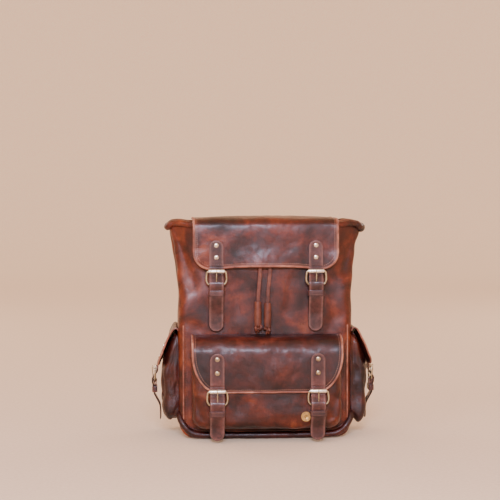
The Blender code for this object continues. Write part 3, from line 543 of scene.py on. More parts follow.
def bagSection(turn, z, grow=0.0):
    # the bag's outline at a height: turn 0 is the middle of the front, and it runs to the right
    share = mouthShare(z)
    quarter = int(turn * 4) % 4
    f = turn * 4 - int(turn * 4)
    if quarter in (1, 3):
        f = 1 - f
    width = between(bag["widths"], z) + grow
    radius = mix(bag["cornerRadius"], 0.010, share) + grow
    depth = bag["halfDepth"] - 0.0012 * share + grow
    pinch = bag["mouthPinch"] * share ** 1.4
    sideDepth = depth * (1 - pinch)
    if f < 0.55:
        x = (width - radius) * f / 0.55
        y = -mix(depth, sideDepth, (f / 0.55) ** 4.0)
    elif f < 0.72:
        angle = math.radians(90 * (f - 0.55) / 0.17)
        x = width - radius + radius * math.sin(angle)
        y = -(sideDepth - radius + radius * math.cos(angle))
    else:
        t = (f - 0.72) / 0.28
        x = width - bag["mouthFold"] * share ** 1.2 * ease(t)
        y = -(sideDepth - radius) * (1 - t)
    return (x if quarter in (0, 1) else -x), (y if quarter in (0, 3) else -y)


def creased(p, a, b, depth, width):
    # how much a crease that runs from a to b presses in at p; all three are (x, z) pairs
    a, b, p = Vector(a), Vector(b), Vector(p)
    t = min(1.0, max(0.0, (p - a).dot(b - a) / (b - a).length_squared))
    away = (p - a.lerp(b, t)).length
    return depth * bump(away, width) * ease(4 * min(t, 1 - t) + 0.15)


# creases of the front, as (from, to, depth, width), x to the right and z up
frontCreases = [
    ((-0.168, 0.368), (-0.128, 0.262), 0.0050, 0.011), ((-0.158, 0.345), (-0.150, 0.235), 0.0034, 0.008),
    ((0.170, 0.366), (0.136, 0.290), 0.0046, 0.012), ((0.156, 0.330), (0.148, 0.225), 0.0030, 0.009),
    ((-0.060, 0.300), (-0.045, 0.205), 0.0026, 0.012), ((0.050, 0.300), (0.036, 0.215), 0.0022, 0.010),
    ((-0.020, 0.285), (0.000, 0.200), 0.0014, 0.009), ((0.118, 0.300), (0.125, 0.205), 0.0028, 0.012),
    ((-0.118, 0.255), (-0.075, 0.196), 0.0024, 0.010), ((-0.150, 0.215), (-0.110, 0.192), 0.0028, 0.009),
    ((0.148, 0.232), (0.105, 0.194), 0.0026, 0.010),
]


def bagRelief(x, y, z):
    # how far the leather stands out of the plain shape there
    wide = noise.fractal(Vector((x * 11, y * 11 + 3.1, z * 8)), 0.9, 2.0, 3)
    folds = noise.fractal(Vector((x * 34 + 7, y * 34, z * 13)), 0.9, 2.1, 3)
    out = 0.0024 * wide + 0.0012 * folds
    if y < -0.02:
        for a, b, depth, width in frontCreases:
            out -= creased((x, z), a, b, depth, width)
    share = ease((z - 0.325) / 0.05)
    out += 0.0010 * share * math.sin(x * 2 * math.pi / 0.019 + 2.0 * wide)
    return out


def bagLimit(x, y, z):
    # the most the leather may stand out, so that it stays behind what hangs or sits on it
    if abs(y) > 0.055:
        if y < 0 and abs(x) < 0.026 and z > 0.19:
            return -0.0004
        return 0.0016 if y < 0 else 0.0006
    return -0.0002 if z < 0.21 else 0.004


def bagPoint(turn, along, inset=0.0):
    # along runs from the middle of the base, out to its edge and up the walls
    floorShare = 0.16
    if along < floorShare:
        reach = along / floorShare
        x, y = bagSection(turn, 0.0, -0.008)
        x = max(-0.126, min(0.126, x))
        return Vector((x * reach, y * reach, inset * 0.9))
    up = (along - floorShare) / (1 - floorShare)
    z = bag["top"] * (0.35 * up * up + 0.65 * up)
    turnRadius = bag["baseTurn"]
    edge = 0.008
    shrink = edge - math.sqrt(max(0.0, edge ** 2 - max(0.0, edge - z) ** 2))
    x, y = bagSection(turn, z, -shrink)
    if z < turnRadius:
        widest = between(bag["widths"], z) - turnRadius + math.sqrt(turnRadius ** 2 - (turnRadius - z) ** 2)
        x = max(-widest, min(widest, x))
    normal = Vector((x / 0.16, y / 0.075, 0))
    normal = Vector((math.copysign(abs(normal.x) ** 6, x), math.copysign(abs(normal.y) ** 6, y), 0))
    normal.normalize()
    out = bagRelief(x, y, z) * ease(z / 0.04)
    out = min(out, bagLimit(x, y, z)) - inset
    return Vector((x, y, z)) + normal * out


def makeBody():
    body = shapedGrid("bagBody", bag["columns"], bag["rows"], lambda u, v: bagPoint(u % 1.0, v), closed=True)
    modify(body, "SOLIDIFY", thickness=bag["wall"], offset=-1.0, use_even_offset=False)
    modify(body, "SUBSURF", levels=1, render_levels=1)
    smoothShade(body, 70)
    finish(body, "bag", bodyLeather, "bag_leather", "front_panel", "back_panel", "base_panel",
           "side_panel_left", "side_panel_right")
    return body


def makeLining():
    def place(across, along):
        p = bagPoint(across % 1.0, along, 0.0042)
        p.z = max(p.z * 0.985, 0.0045)
        return p

    cloth = shapedGrid("cottonLining", 96, 44, place, closed=True)
    modify(cloth, "SOLIDIFY", thickness=0.0008, offset=-1.0)
    smoothShade(cloth, 70)
    finish(cloth, "bag", liningCotton, "canvas_lining", "lining")


bodySkin = surfaceOf(makeBody())
makeLining()
print("body and lining shaped")


# the rolled hem round the mouth

hem = {"radius": 0.0064, "height": 0.3842, "steps": 220, "hump": 0.0035, "earDrop": 0.0052}


def mouthLine(count):
    line = []
    for i in range(count):
        turn = i / count
        x, y = bagSection(turn, 0.380)
        z = hem["height"] + 0.0012 * noise.noise(Vector((x * 20, y * 20, 4)))
        z += hem["hump"] * bump(abs(x) - 0.154, 0.013) - hem["earDrop"] * ease((abs(x) - 0.163) / 0.014)
        line.append(Vector((x * 1.012, y * 0.985, z)))
    return line


def makeHem():
    line = mouthLine(hem["steps"])
    radii = []
    for p in line:
        swell = ease((abs(p.x) - 0.162) / 0.012) * (0.26 if p.x > 0 else 0.08)
        radii.append(0.94 + 0.12 * noise.noise(p * 70) + 0.08 * noise.noise(p * 190) + swell)
    roll = tube("mouthHem", line, hem["radius"], closed=True, sides=6, radii=radii)
    modify(roll, "SUBSURF", levels=1, render_levels=1)
    finish(roll, "bag", bodyLeather, "bag_leather", "mouth_hem")
    # the right ear is folded over into a dark round end
    tip = max((p for p in line if p.y < -0.020), key=lambda p: p.x)
    bpy.ops.object.select_all(action="DESELECT")
    bpy.ops.mesh.primitive_uv_sphere_add(segments=32, ring_count=20, radius=1.0, location=(0, 0, 0))
    end = bpy.context.object
    end.name = "hemFoldedEnd"
    for vertex in end.data.vertices:
        x, y, z = vertex.co
        dent = 1 - 0.20 * bump((x - 0.75) ** 2 + (y + 0.6) ** 2 + z * z, 0.35)
        ball = Vector((x * 0.0096, y * 0.0094, z * 0.0090)) * dent
        vertex.co = ball + Vector((tip.x + 0.0004, tip.y, tip.z - 0.0010))
    smoothShade(end, 80)
    finish(end, "bag", edgePaint, "bag_leather")
    cord = tube("drawstringInHem", mouthLine(120), 0.0025, closed=True, sides=2)
    finish(cord, "bag", cordLeather, "strap_leather", "drawstring_loop")


makeHem()
print("hem rolled")


# flat pieces of leather that bend over something

def stand(origin, out, across):
    return {"origin": Vector(origin), "out": Vector(out), "across": Vector(across)}


def onStand(place, a, out, up):
    return place["origin"] + place["across"] * a + place["out"] * out + Vector((0, 0, up))


facing = stand((0, 0, 0), (0, -1, 0), (1, 0, 0))     # things on the front, measured outwards to the viewer


def track(points, count=160):
    # a smooth path through (out, up) pairs, read off by the distance along it
    line = smoothLine([(o, u, 0) for o, u in points], count)
    total = lineLength(line)
    runs = [(line[min(i + 1, count)] - line[max(i - 1, 0)]).normalized() for i in range(count + 1)]

    def at(s):
        f = min(max(s / total, 0.0), 1.0) * count
        i = min(int(f), count - 1)
        return line[i].lerp(line[i + 1], f - i), runs[i].lerp(runs[i + 1], f - i)

    return at, total


def bentSheet(where, points, relief=None, shift=None):
    # turns flat leather, (a across, s along), into its place in space
    at, total = track(points)

    def place(a, s, proud=0.0):
        if shift:
            s = shift(a, s)
        p, run = at(s)
        out = proud + (relief(a, s) if relief else 0.0)
        return onStand(where, a, p.x - run.y * out, p.y + run.x * out)

    return place, total


def roundOff(a, h, half, corner):
    # pulls the square corner of a flat piece onto its round one; h is the distance from the piece's end
    ra, rs = corner
    x, y = (abs(a) - (half - ra)) / ra, (rs - h) / rs
    if x <= 0 or y <= 0:
        return a, h
    x, y = x * math.sqrt(1 - y * y / 2), y * math.sqrt(1 - x * x / 2)
    return math.copysign(half - ra + ra * x, a), rs - rs * y


def leatherSheet(name, place, total, half, thickness, columns, rows, endCorner=None, startCorner=None):
    wear = []

    def shape(across, along):
        a, s = (across * 2 - 1) * half, along * total
        edge = min(half - abs(a), total - s if endCorner else 1.0, s if startCorner else 1.0)
        wear.append(bump(edge, 0.0030))
        if endCorner:
            a, h = roundOff(a, total - s, half, endCorner)
            s = total - h
        if startCorner:
            a, s = roundOff(a, s, half, startCorner)
        return place(a, s)

    obj = shapedGrid(name, columns, rows, shape)
    mark = obj.data.attributes.new("wear", "FLOAT", "POINT")
    mark.data.foreach_set("value", wear)
    modify(obj, "SOLIDIFY", thickness=thickness, offset=0.0)
    roundEdges(obj, min(0.0006, thickness * 0.28))
    return smoothShade(obj)


def rimPath(half, total, corner, inset, start, atStart=False):
    # the line round a flat piece's end at some distance in from its edge, as (a, s) pairs
    ra, rs = max(corner[0] - inset, 0.001), max(corner[1] - inset, 0.001)
    w, end = half - inset, total - inset
    path = [(-w, start), (-w, end - rs)]
    turns = [math.radians(6 * i) for i in range(1, 16)]
    path += [(-w + ra - ra * math.cos(t), end - rs + rs * math.sin(t)) for t in turns]
    path += [(-a, s) for a, s in reversed(path)]
    if atStart:
        path = [(a, total - s) for a, s in path]
    return path


def flatLine(path, spacing):
    # the same line at an even spacing
    line = [Vector((a, s, 0)) for a, s in path]
    return evenly(line, max(2, int(lineLength(line) / spacing)))


stitch = {"length": 0.0027, "pitch": 0.0036, "width": 0.0007, "height": 0.0005}


def makeStitchPattern():
    bpy.ops.object.select_all(action="DESELECT")
    bpy.ops.mesh.primitive_uv_sphere_add(segments=6, ring_count=5, radius=0.5, location=(0, 0, 0),
                                         rotation=(0, math.radians(90), 0))
    bpy.ops.object.transform_apply(rotation=True)
    bpy.ops.transform.resize(value=(stitch["length"], stitch["width"], stitch["height"]),
                             center_override=(0, 0, 0))
    bpy.ops.object.transform_apply(scale=True)
    pattern = bpy.context.object
    pattern.name = "stitchPattern"
    return pattern


stitchPattern = makeStitchPattern()


def stitchPlaces(place, path, proud):
    # where the stitches of a seam lie: on the piece's face, each along the seam
    spots = flatLine(path, stitch["pitch"])
    places = []
    for p, ahead in zip(spots, spots[1:]):
        here = place(p.x, p.y, proud)
        run = place(ahead.x, ahead.y, proud) - here
        normal = place(p.x, p.y, proud + 0.002) - here
        places.append(standing(here + run / 2, run, normal))
    return places


def sew(name, places, body, look=None):
    return finish(copiesOf(name, stitchPattern, places), body, look or seamThread, "strap_leather")


def pipe(name, place, path, radius, body):
    # cord-like piping round an edge
    line = [place(p.x, p.y) for p in flatLine(path, 0.003)]
    return finish(tube(name, line, radius, sides=3), body, pipingLeather, "strap_leather")


# the lid

lid = {
    "half": 0.1290, "corner": (0.034, 0.030), "thickness": 0.0024, "rise": 0.0065,
    "path": [(-0.0705, 0.3930), (-0.045, 0.3962), (0.0, 0.3978), (0.040, 0.3974), (0.061, 0.3958),
             (0.0718, 0.3902), (0.0756, 0.3800), (0.0772, 0.3480), (0.0784, 0.3055)],
}


def lidRelief(a, s):
    wide = noise.fractal(Vector((a * 13 + 2.3, s * 12, 5.1)), 0.9, 2.0, 3)
    folds = noise.fractal(Vector((a * 42, s * 30, 9.7)), 0.9, 2.1, 3)
    fall = ease((s - 0.165) / 0.02)
    out = (0.0019 * wide + 0.0006 * folds) * mix(0.7, 1.0, fall)
    # the strips pull the leather in beside them, and it bulges between them
    out += 0.0062 * ease(1 - abs(a) / 0.076) ** 0.6 * ease((s - 0.178) / 0.070)
    out += 0.0040 * ease((abs(a) - 0.106) / 0.02) * ease((s - 0.190) / 0.04)
    under = max(bump(a - 0.089, 0.016), bump(a + 0.089, 0.016)) * ease((s - 0.195) / 0.012)
    out = mix(out, -0.0002, under)
    # the top sinks a little between the mouth's two walls near the lid's sides
    out -= (1 - fall) * 0.0035 * abs(a / 0.132) ** 3 * bump(s - 0.075, 0.06)
    return min(out, 0.0074)


def lidShift(a, s):
    return s - lid["rise"] * ease(1 - (abs(a) / 0.108) ** 2) * ease((s - 0.16) / 0.09)


def makeLid():
    place, total = bentSheet(facing, lid["path"], lidRelief, lidShift)
    sheet = leatherSheet("lidLeather", place, total, lid["half"], lid["thickness"], 108, 100, lid["corner"])
    finish(sheet, "lid", bodyLeather, "bag_leather", "lid")
    proud = lid["thickness"] / 2
    pipe("lidPiping", place, rimPath(lid["half"], total, lid["corner"], 0.0003, 0.006), 0.0021, "lid")
    path = rimPath(lid["half"], total, lid["corner"], 0.0058, 0.010)
    # the lid's stitches take the pale thread, a painted highlight along the seam
    sew("lidStitches", stitchPlaces(place, path, proud), "lid", highlightPaleThread)
    # the seam that holds the lid to the back
    back = [(-0.125, 0.006), (0.125, 0.006)]
    sew("lidBackStitches", stitchPlaces(place, back, proud), "lid")
    return place, total


makeLid()
print("lid shaped")


# pockets: soft boxes sewn to the bag

def squareToRound(i, j, w, h, r):
    x, z = i * w, j * h
    p, q = (abs(x) - (w - r)) / r, (abs(z) - (h - r)) / r
    if p > 0 and q > 0:
        p, q = min(p, 1.0), min(q, 1.0)
        x = math.copysign(w - r + r * p * math.sqrt(1 - q * q / 2), x)
        z = math.copysign(h - r + r * q * math.sqrt(1 - p * p / 2), z)
    return x, z


def softBox(name, where, half, low, high, depth, corner, bend, relief, columns, rows, thickness, openTop,
            form=None):
    # a bag-shaped box: a face, a soft turn and walls that run back to the bag; relief says how far it swells
    middle, rise = (low + high) / 2, (high - low) / 2
    face, turned = 0.66, 0.80

    def shape(across, along):
        i, j = across * 2 - 1, along * 2 - 1
        t = max(abs(i), abs(j), 1e-6)
        i, j = i / t, j / t
        ix, iz = squareToRound(i, j, half - bend, rise - bend, max(corner - bend, 0.003))
        ox, oz = squareToRound(i, j, half, rise, corner)
        if t < face:
            a, b, d, side = ix * t / face, iz * t / face, depth, 0.0
        elif t < turned:
            angle = math.radians(90) * (t - face) / (turned - face)
            side = math.sin(angle)
            a, b, d = mix(ix, ox, side), mix(iz, oz, side), depth - bend * (1 - math.cos(angle))
        else:
            side = 1.0
            a, b, d = ox, oz, (depth - bend) * (1 - t) / (1 - turned)
        ahead = Vector((ox - ix, oz - iz)).normalized() if side else Vector((0, 0))
        push = relief(a, b, d, side) * min(1.0, (1 - t) / 0.05)
        a, b = a + ahead.x * push * side, b + ahead.y * push * side
        d += push * math.sqrt(max(0.0, 1 - side * side))
        if form:
            a, b, d = form(a, b, d)
        return onStand(where, a, d, middle + b)

    obj = shapedGrid(name, columns, rows, shape)
    if openTop:
        def isTop(f):
            out = (f.center - where["origin"]).dot(where["out"])
            return abs(f.normal.z) > 0.55 and f.center.z > high - openTop and out < depth - bend * 0.5

        editFaces(obj, isTop)
        bpy.ops.mesh.delete(type="FACE")
        leaveEdit()
    modify(obj, "SOLIDIFY", thickness=thickness, offset=0.0)
    modify(obj, "SUBSURF", levels=1, render_levels=1)
    return smoothShade(obj, 70)


frontPocket = {"half": 0.1315, "low": 0.0255, "high": 0.1780, "back": 0.0700, "depth": 0.0448, "corner": 0.022,
               "bend": 0.012, "thickness": 0.0022}


def frontPocketRelief(a, b, d, side):
    z = b + (frontPocket["low"] + frontPocket["high"]) / 2
    wide = noise.fractal(Vector((a * 14 + 8.3, z * 15, d * 20)), 0.9, 2.0, 3)
    folds = noise.fractal(Vector((a * 40, z * 32 + 4.7, d * 30)), 0.9, 2.1, 3)
    out = 0.0019 * wide + 0.0008 * folds + 0.0022 * (1 - (a / 0.13) ** 2) * bump(z - 0.055, 0.04)
    out -= creased((a, z), (-0.128, 0.085), (-0.112, 0.030), 0.0028, 0.007)
    out -= creased((a, z), (0.127, 0.090), (0.110, 0.034), 0.0030, 0.008)
    out -= creased((a, z), (0.060, 0.088), (0.078, 0.052), 0.0014, 0.007)
    out -= creased((a, z), (-0.060, 0.086), (-0.045, 0.048), 0.0012, 0.007)
    if side > 0.5:
        out += 0.0012 * math.sin(d * 2 * math.pi / 0.021 + 3 * wide)
    ceiling = mix(0.0010, 0.0034, ease((0.092 - z) / 0.02))
    if abs(abs(a) - 0.089) < 0.016:
        ceiling = 0.0004
    return min(out, ceiling)


def makeFrontPocket():
    where = stand((0, -frontPocket["back"], 0), (0, -1, 0), (1, 0, 0))
    box = softBox("frontPocketLeather", where, frontPocket["half"], frontPocket["low"], frontPocket["high"],
                  frontPocket["depth"], frontPocket["corner"], frontPocket["bend"], frontPocketRelief, 100, 76,
                  frontPocket["thickness"], 0.006)
    finish(box, "bag", frontLeather, "bag_leather", "front_pocket")
    return box


pocketSkin = surfaceOf(makeFrontPocket())

sidePocket = {
    "half": 0.0545, "low": 0.0370, "high": 0.1700, "back": 0.1545, "depth": 0.0305, "corner": 0.016,
    "bend": 0.011, "thickness": 0.0022,
    # how far it stands out at some heights, as a share of its depth
    "fullness": [(0.030, 0.74), (0.060, 1.0), (0.118, 1.0), (0.1335, 0.97), (0.1465, 0.88), (0.160, 0.70),
                 (0.172, 0.56), (0.190, 0.40)],
}

# creases of a side pocket, as (from, to, depth, width), towards the front and up
sideCreases = [
    ((0.050, 0.165), (0.040, 0.070), 0.0042, 0.006), ((0.030, 0.160), (0.046, 0.085), 0.0026, 0.005),
    ((0.044, 0.090), (0.010, 0.050), 0.0042, 0.007), ((-0.040, 0.150), (-0.046, 0.075), 0.0040, 0.007),
    ((-0.046, 0.080), (-0.015, 0.052), 0.0034, 0.006),
]


def makeSidePocket(side):
    end = "left" if side < 0 else "right"
    where = stand((side * sidePocket["back"], 0, 0), (side, 0, 0), (0, -1, 0))
    middle = (sidePocket["low"] + sidePocket["high"]) / 2
    seed = 3.0 if side < 0 else 11.0

    def relief(a, b, d, turn):
        z = b + middle
        wide = noise.fractal(Vector((a * 17 + seed, z * 15, d * 24)), 0.9, 2.0, 3)
        folds = noise.fractal(Vector((a * 46, z * 22 + seed, d * 58)), 0.9, 2.1, 4)
        out = 0.0030 * wide + 0.0016 * folds
        for start, finishAt, depth, width in sideCreases:
            out -= creased((a, z), start, finishAt, depth, width)
        if turn > 0.3:
            # upright folds of the wall that looks to the front
            out += 0.0011 * math.sin(d * 2 * math.pi / 0.019 + 5.0 * wide + z * 30) * ease((0.168 - z) / 0.04)
        if b < 0:
            out += 0.0035 * bump(z - sidePocket["low"] - 0.012, 0.018) * turn
        ceiling = 0.0012 if abs(a) < 0.016 else mix(0.0022, 0.0050, ease((0.125 - z) / 0.03))
        return max(-0.006, min(out, ceiling))

    def form(a, b, d):
        # narrower at the mouth and the foot, with a mouth that slopes under the flap
        z = b + middle
        d *= between(sidePocket["fullness"], z)
        d *= 1 - 0.20 * ease((z - 0.120) / 0.02) * (abs(a) / sidePocket["half"]) ** 4
        b += 0.0225 * ease(1 - d / 0.0215) * ease((z - 0.140) / 0.028)
        # the foot's front corner hangs lower, more so on the right
        droop = 0.012 if side > 0 else 0.003
        b -= droop * ease((0.075 - z) / 0.040) * ease((a - 0.010) / 0.035) * ease(d / 0.02)
        return a, b, d

    box = softBox(f"sidePocketLeather_{end}", where, sidePocket["half"], sidePocket["low"], sidePocket["high"],
                  sidePocket["depth"], sidePocket["corner"], sidePocket["bend"], relief, 76, 84,
                  sidePocket["thickness"], 0.006, form)
    finish(box, "bag", pocketLeather, "bag_leather", f"side_pocket_{end}")


for side in (-1, 1):
    makeSidePocket(side)
print("pockets shaped")


# flaps of the pockets

frontFlap = {
    "half": 0.1325, "corner": (0.047, 0.068), "thickness": 0.0024,
    "path": [(0.0715, 0.1880), (0.0850, 0.1873), (0.0975, 0.1856), (0.1075, 0.1812), (0.1140, 0.1742),
             (0.1178, 0.1648), (0.1193, 0.1530), (0.1199, 0.1250), (0.1198, 0.0915)],
}


def frontFlapRelief(a, s):
    wide = noise.fractal(Vector((a * 13 + 6.3, s * 14, 1.1)), 0.9, 2.0, 3)
    folds = noise.fractal(Vector((a * 44, s * 34, 3.7)), 0.9, 2.1, 3)
    out = 0.0017 * wide + 0.0007 * folds
    out += 0.0016 * noise.noise(Vector((a * 30, s * 9, 5.0))) * bump(s - 0.040, 0.02)
    out += 0.0016 * math.cos(a * math.pi / 0.089) ** 2 * bump(s - 0.095, 0.03)
    under = max(bump(a - 0.089, 0.016), bump(a + 0.089, 0.016)) * ease((s - 0.065) / 0.012)
    return mix(max(-0.0008, min(out, 0.003)), -0.0001, under) * ease(s / 0.02)


def frontFlapShift(a, s):
    # the lower edge sags a little between the strips
    return s + 0.0018 * (1 - (a / 0.13) ** 2) * ease((s - 0.08) / 0.05)


def makeFrontFlap():
    place, total = bentSheet(facing, frontFlap["path"], frontFlapRelief, frontFlapShift)
    sheet = leatherSheet("frontFlapLeather", place, total, frontFlap["half"], frontFlap["thickness"], 108, 72,
                         frontFlap["corner"])
    finish(sheet, "front_flap", pocketLeather, "bag_leather", "front_flap")
    proud = frontFlap["thickness"] / 2
    edge = rimPath(frontFlap["half"], total, frontFlap["corner"], 0.0003, 0.004)
    pipe("frontFlapPiping", place, edge, 0.0020, "front_flap")
    path = rimPath(frontFlap["half"], total, frontFlap["corner"], 0.0055, 0.008)
    # the flap's stitches take the pale thread, a painted highlight along the seam
    sew("frontFlapStitches", stitchPlaces(place, path, proud), "front_flap", highlightPaleThread)


makeFrontFlap()

sideFlap = {
    "half": 0.0575, "corner": (0.018, 0.018), "thickness": 0.0026,
    "path": [(0.1560, 0.1925), (0.1602, 0.1978), (0.1655, 0.1952), (0.1700, 0.1866), (0.1740, 0.1742),
             (0.1785, 0.1618), (0.1846, 0.1465), (0.1908, 0.1310)],
}


def makeSideFlap(side):
    end = "left" if side < 0 else "right"
    seed = 2.0 if side < 0 else 7.0

    def relief(a, s):
        wide = noise.fractal(Vector((a * 20 + seed, s * 22, 2.2)), 0.9, 2.0, 3)
        free = ease((abs(a) - 0.016) / 0.03)
        lift = ease(s / 0.055)
        # the front edge curls away from the pocket, the back edge down to it
        curl = 0.0055 if a * side < 0 else -0.0060
        return free * (0.0015 * wide + curl * abs(a / 0.058) ** 3 * lift)

    where = stand((0, 0, 0), (side, 0, 0), (0, side, 0))
    place, total = bentSheet(where, sideFlap["path"], relief)
    sheet = leatherSheet(f"sideFlapLeather_{end}", place, total, sideFlap["half"], sideFlap["thickness"],
                         56, 44, sideFlap["corner"])
    finish(sheet, f"side_flap_{end}", pocketLeather, "bag_leather", f"side_flap_{end}")
    proud = sideFlap["thickness"] / 2
    edge = rimPath(sideFlap["half"], total, sideFlap["corner"], 0.0003, 0.014)
    pipe(f"sideFlapPiping_{end}", place, edge, 0.0017, f"side_flap_{end}")
    path = rimPath(sideFlap["half"], total, sideFlap["corner"], 0.0050, 0.016)
    sew(f"sideFlapStitches_{end}", stitchPlaces(place, path, proud), f"side_flap_{end}")


for side in (-1, 1):
    makeSideFlap(side)
print("flaps shaped")


# the six buckled strips

strip = {
    "half": 0.0125, "thickness": 0.0022, "rest": 0.0014, "over": 0.0111, "kept": 0.00835, "tuck": -0.0034,
    "tabFoot": 0.0083, "barDrop": 0.024, "chapeFoot": 0.0205, "plane": 0.0062,
    # each strip: the point behind its roller, the way it faces, its tail's length and its tab's lean in degrees
    "lid": {"foot": (0.089, -0.0794, 0.30305), "tail": 0.1078, "tab": 0.046},
    "front": {"foot": (0.089, -0.1210, 0.0940), "tail": 0.0880, "tab": 0.058},
    "side": {"foot": (0.1925, 0.0, 0.1220), "tail": 0.0960, "tab": 0.042, "lean": 22},
}
buckle = {"half": 0.0172, "wire": 0.0017, "rollerRadius": 0.0038, "rollerHalf": 0.0142, "prong": 0.0010}
rivet = {"radius": 0.0043, "height": 0.0018}


def tailPath(tail):
    rest, over, kept, tuck = strip["rest"], strip["over"], strip["kept"], strip["tuck"]
    bar, end = strip["barDrop"], strip["barDrop"] + strip["chapeFoot"]
    free = tail - strip["half"] - end
    path = [(rest, 0.0077), (rest, 0.003), (rest, -0.002)]
    path += [(rest + (over - rest) * share, -(bar + down)) for down, share in (
        (-0.018, 0.08), (-0.014, 0.33), (-0.011, 0.56), (-0.0075, 0.76), (-0.0035, 0.98), (0.0015, 1.0))]
    path += [(mix(over, kept, share), -(bar + down)) for down, share in (
        (0.0055, 0.30), (0.0095, 0.80), (0.0140, 0.97), (0.0205, 1.0))]
    path += [(mix(kept, tuck, share), -(end + free * part)) for part, share in (
        (0.12, 0.10), (0.30, 0.40), (0.48, 0.71), (0.66, 0.93))]
    path += [(tuck, -(tail - strip["half"])), (tuck, -(tail - 0.006)), (tuck, -tail)]
    return path


def makeStrip(name, kind, side):
    spec = strip[kind]
    x, y, z = spec["foot"]
    if kind == "side":
        where = stand((side * x, y, z), (side, 0, 0), (0, side, 0))
    else:
        where = stand((side * x, y, z), (0, -1, 0), (1, 0, 0))
    end = "left" if side < 0 else "right"
    flap = {"lid": "lid", "front": "front_flap", "side": f"side_flap_{end}"}[kind]
    tailBody, seed = name, len(name) * 1.7 + side * 3.1
    half, thick = strip["half"], strip["thickness"]

    def grainWave(a, s):
        return 0.00025 * noise.noise(Vector((a * 90 + seed, s * 60, 0.5)))

    # the riveted tab
    lean = math.radians(spec.get("lean", 0))
    length = spec["tab"]
    tops = [(strip["rest"] - math.sin(lean) * length * f, strip["tabFoot"] + math.cos(lean) * length * f)
            for f in (1.0, 0.66, 0.33, 0.0)]
    place, total = bentSheet(where, tops, grainWave)
    tab = leatherSheet(f"{name}_tabLeather", place, total, half, thick, 16, 26, startCorner=(half, half))
    finish(tab, flap, strapLeather, "strap_leather", f"{name}_tab")
    seam = rimPath(half, total, (half, half), 0.0024, 0.001, atStart=True)
    sew(f"{name}_tabStitches", stitchPlaces(place, seam, thick / 2), flap)
    cross = [(-half + 0.003, total - 0.0035), (half - 0.003, total - 0.0035)]
    sew(f"{name}_tabCrossStitches", stitchPlaces(place, cross, thick / 2), flap)
    caps = []
    for s in ((0.0100, 0.0345) if kind == "front" else (0.0085, 0.0300)):
        here = place(0.0, s, thick / 2)
        caps.append(standing(here, where["across"], place(0.0, s, thick) - here))
    finish(copiesOf(f"{name}_rivets", rivetPattern, caps), flap,
           darkRivetMetal if kind == "front" else rivetMetal, "brass_hardware")

    # the strip that hangs from under the tab, with its slot for the prong
    path = tailPath(spec["tail"])

    def curl(a, s):
        tip = ease((s - total * 0.45) / (total * 0.5))
        return grainWave(a, s) * 2 - 0.0006 * (a / half) ** 2 * tip

    place, total = bentSheet(where, path, curl)
    tail = leatherSheet(f"{name}_tailLeather", place, total, half, thick, 16, 90, endCorner=(half, half))
    finish(tail, tailBody, strapLeather, "strap_leather", f"{name}_tail")
    seam = rimPath(half, total, (half, half), 0.0024, 0.042)
    sew(f"{name}_tailStitches", stitchPlaces(place, seam, thick / 2), tailBody)
    rim = rimPath(half, total, (half, half), 0.0, 0.010)
    line = [place(p.x, p.y) for p in flatLine(rim, 0.002)]
    finish(tube(f"{name}_tailEdge", line, thick * 0.40, sides=2), tailBody, edgePaint, "strap_leather")

    makeBuckle(name, where, tailBody)
    makeChape(name, where, tailBody)


def ringLine(where, points, count):
    line = smoothLine([Vector((a, o, u)) for a, o, u in points], count, closed=True)[:-1]
    return [onStand(where, p.x, p.y, p.z) for p in line]


def makeBuckle(name, where, body):
    w, drop, plane = buckle["half"], strip["barDrop"], strip["plane"]
    points = [(0, 0), (w - 0.0046, 0), (w - 0.0012, -0.0010), (w, -0.0045), (w + 0.0006, -0.0110),
              (w + 0.0002, -0.0172), (w - 0.0022, -0.0218), (w - 0.0066, -drop), (0, -drop)]
    points += [(-a, u) for a, u in reversed(points[1:-1])]
    frameWire = tube(f"{name}_frameWire", ringLine(where, [(a, plane, u) for a, u in points], 96),
                     buckle["wire"], closed=True, sides=4)
    finish(frameWire, body, buckleMetal, "brass_hardware", f"{name}_frame")
    roller = makeRoller(f"{name}_rollerTube", where)
    finish(roller, f"{name}_roller", rollerMetal, "brass_hardware", f"{name}_roller")
    eye = 0.0027
    turns = [(eye * math.cos(t), eye * math.sin(t)) for t in [math.radians(75 + 28.5 * i) for i in range(11)]]
    reach = plane + buckle["rollerRadius"] + 0.0013
    line = [Vector((0, plane + o, -drop + u)) for o, u in turns]
    for t in (0.2, 0.4, 0.6, 0.8, 1.0):
        out = plane + eye + (reach - plane - eye) * t + 0.0008 * math.sin(math.pi * t)
        line.append(Vector((0, out, -drop * (1 - t))))
    line.append(Vector((0, reach - 0.0004, 0.0028)))
    line = smoothLine(line, 60)
    radii = [1.0] * 45 + [1.0 - 0.022 * i for i in range(16)]
    wire = tube(f"{name}_prongWire", [onStand(where, p.x, p.y, p.z) for p in line], buckle["prong"], sides=3,
                radii=radii)
    finish(wire, f"{name}_prong", buckleMetal, "brass_hardware", f"{name}_prong")


def makeRoller(name, where):
    # a short tube with rolled ends
    bpy.ops.object.select_all(action="DESELECT")
    bpy.ops.mesh.primitive_cylinder_add(vertices=28, radius=buckle["rollerRadius"],
                                        depth=buckle["rollerHalf"] * 2, location=(0, 0, 0))
    obj = bpy.context.object
    obj.name = name
    editFaces(obj, lambda f: abs(f.normal.z) > 0.9)
    bpy.ops.mesh.inset(thickness=0.0011, use_individual=True)
    bpy.ops.transform.resize(value=(1, 1, 0.93), center_override=(0, 0, 0))
    leaveEdit()
    roundEdges(obj, 0.0004, 3, 40)
    across, out = where["across"], where["out"]
    middle = onStand(where, 0.0, strip["plane"], 0.0)
    up = Vector((0, 0, 1))
    obj.data.transform(Matrix(((out.x, up.x, across.x, middle.x), (out.y, up.y, across.y, middle.y),
                               (out.z, up.z, across.z, middle.z), (0, 0, 0, 1))))
    editAll(obj)
    bpy.ops.mesh.normals_make_consistent(inside=False)
    leaveEdit()
    return smoothShade(obj, 60)


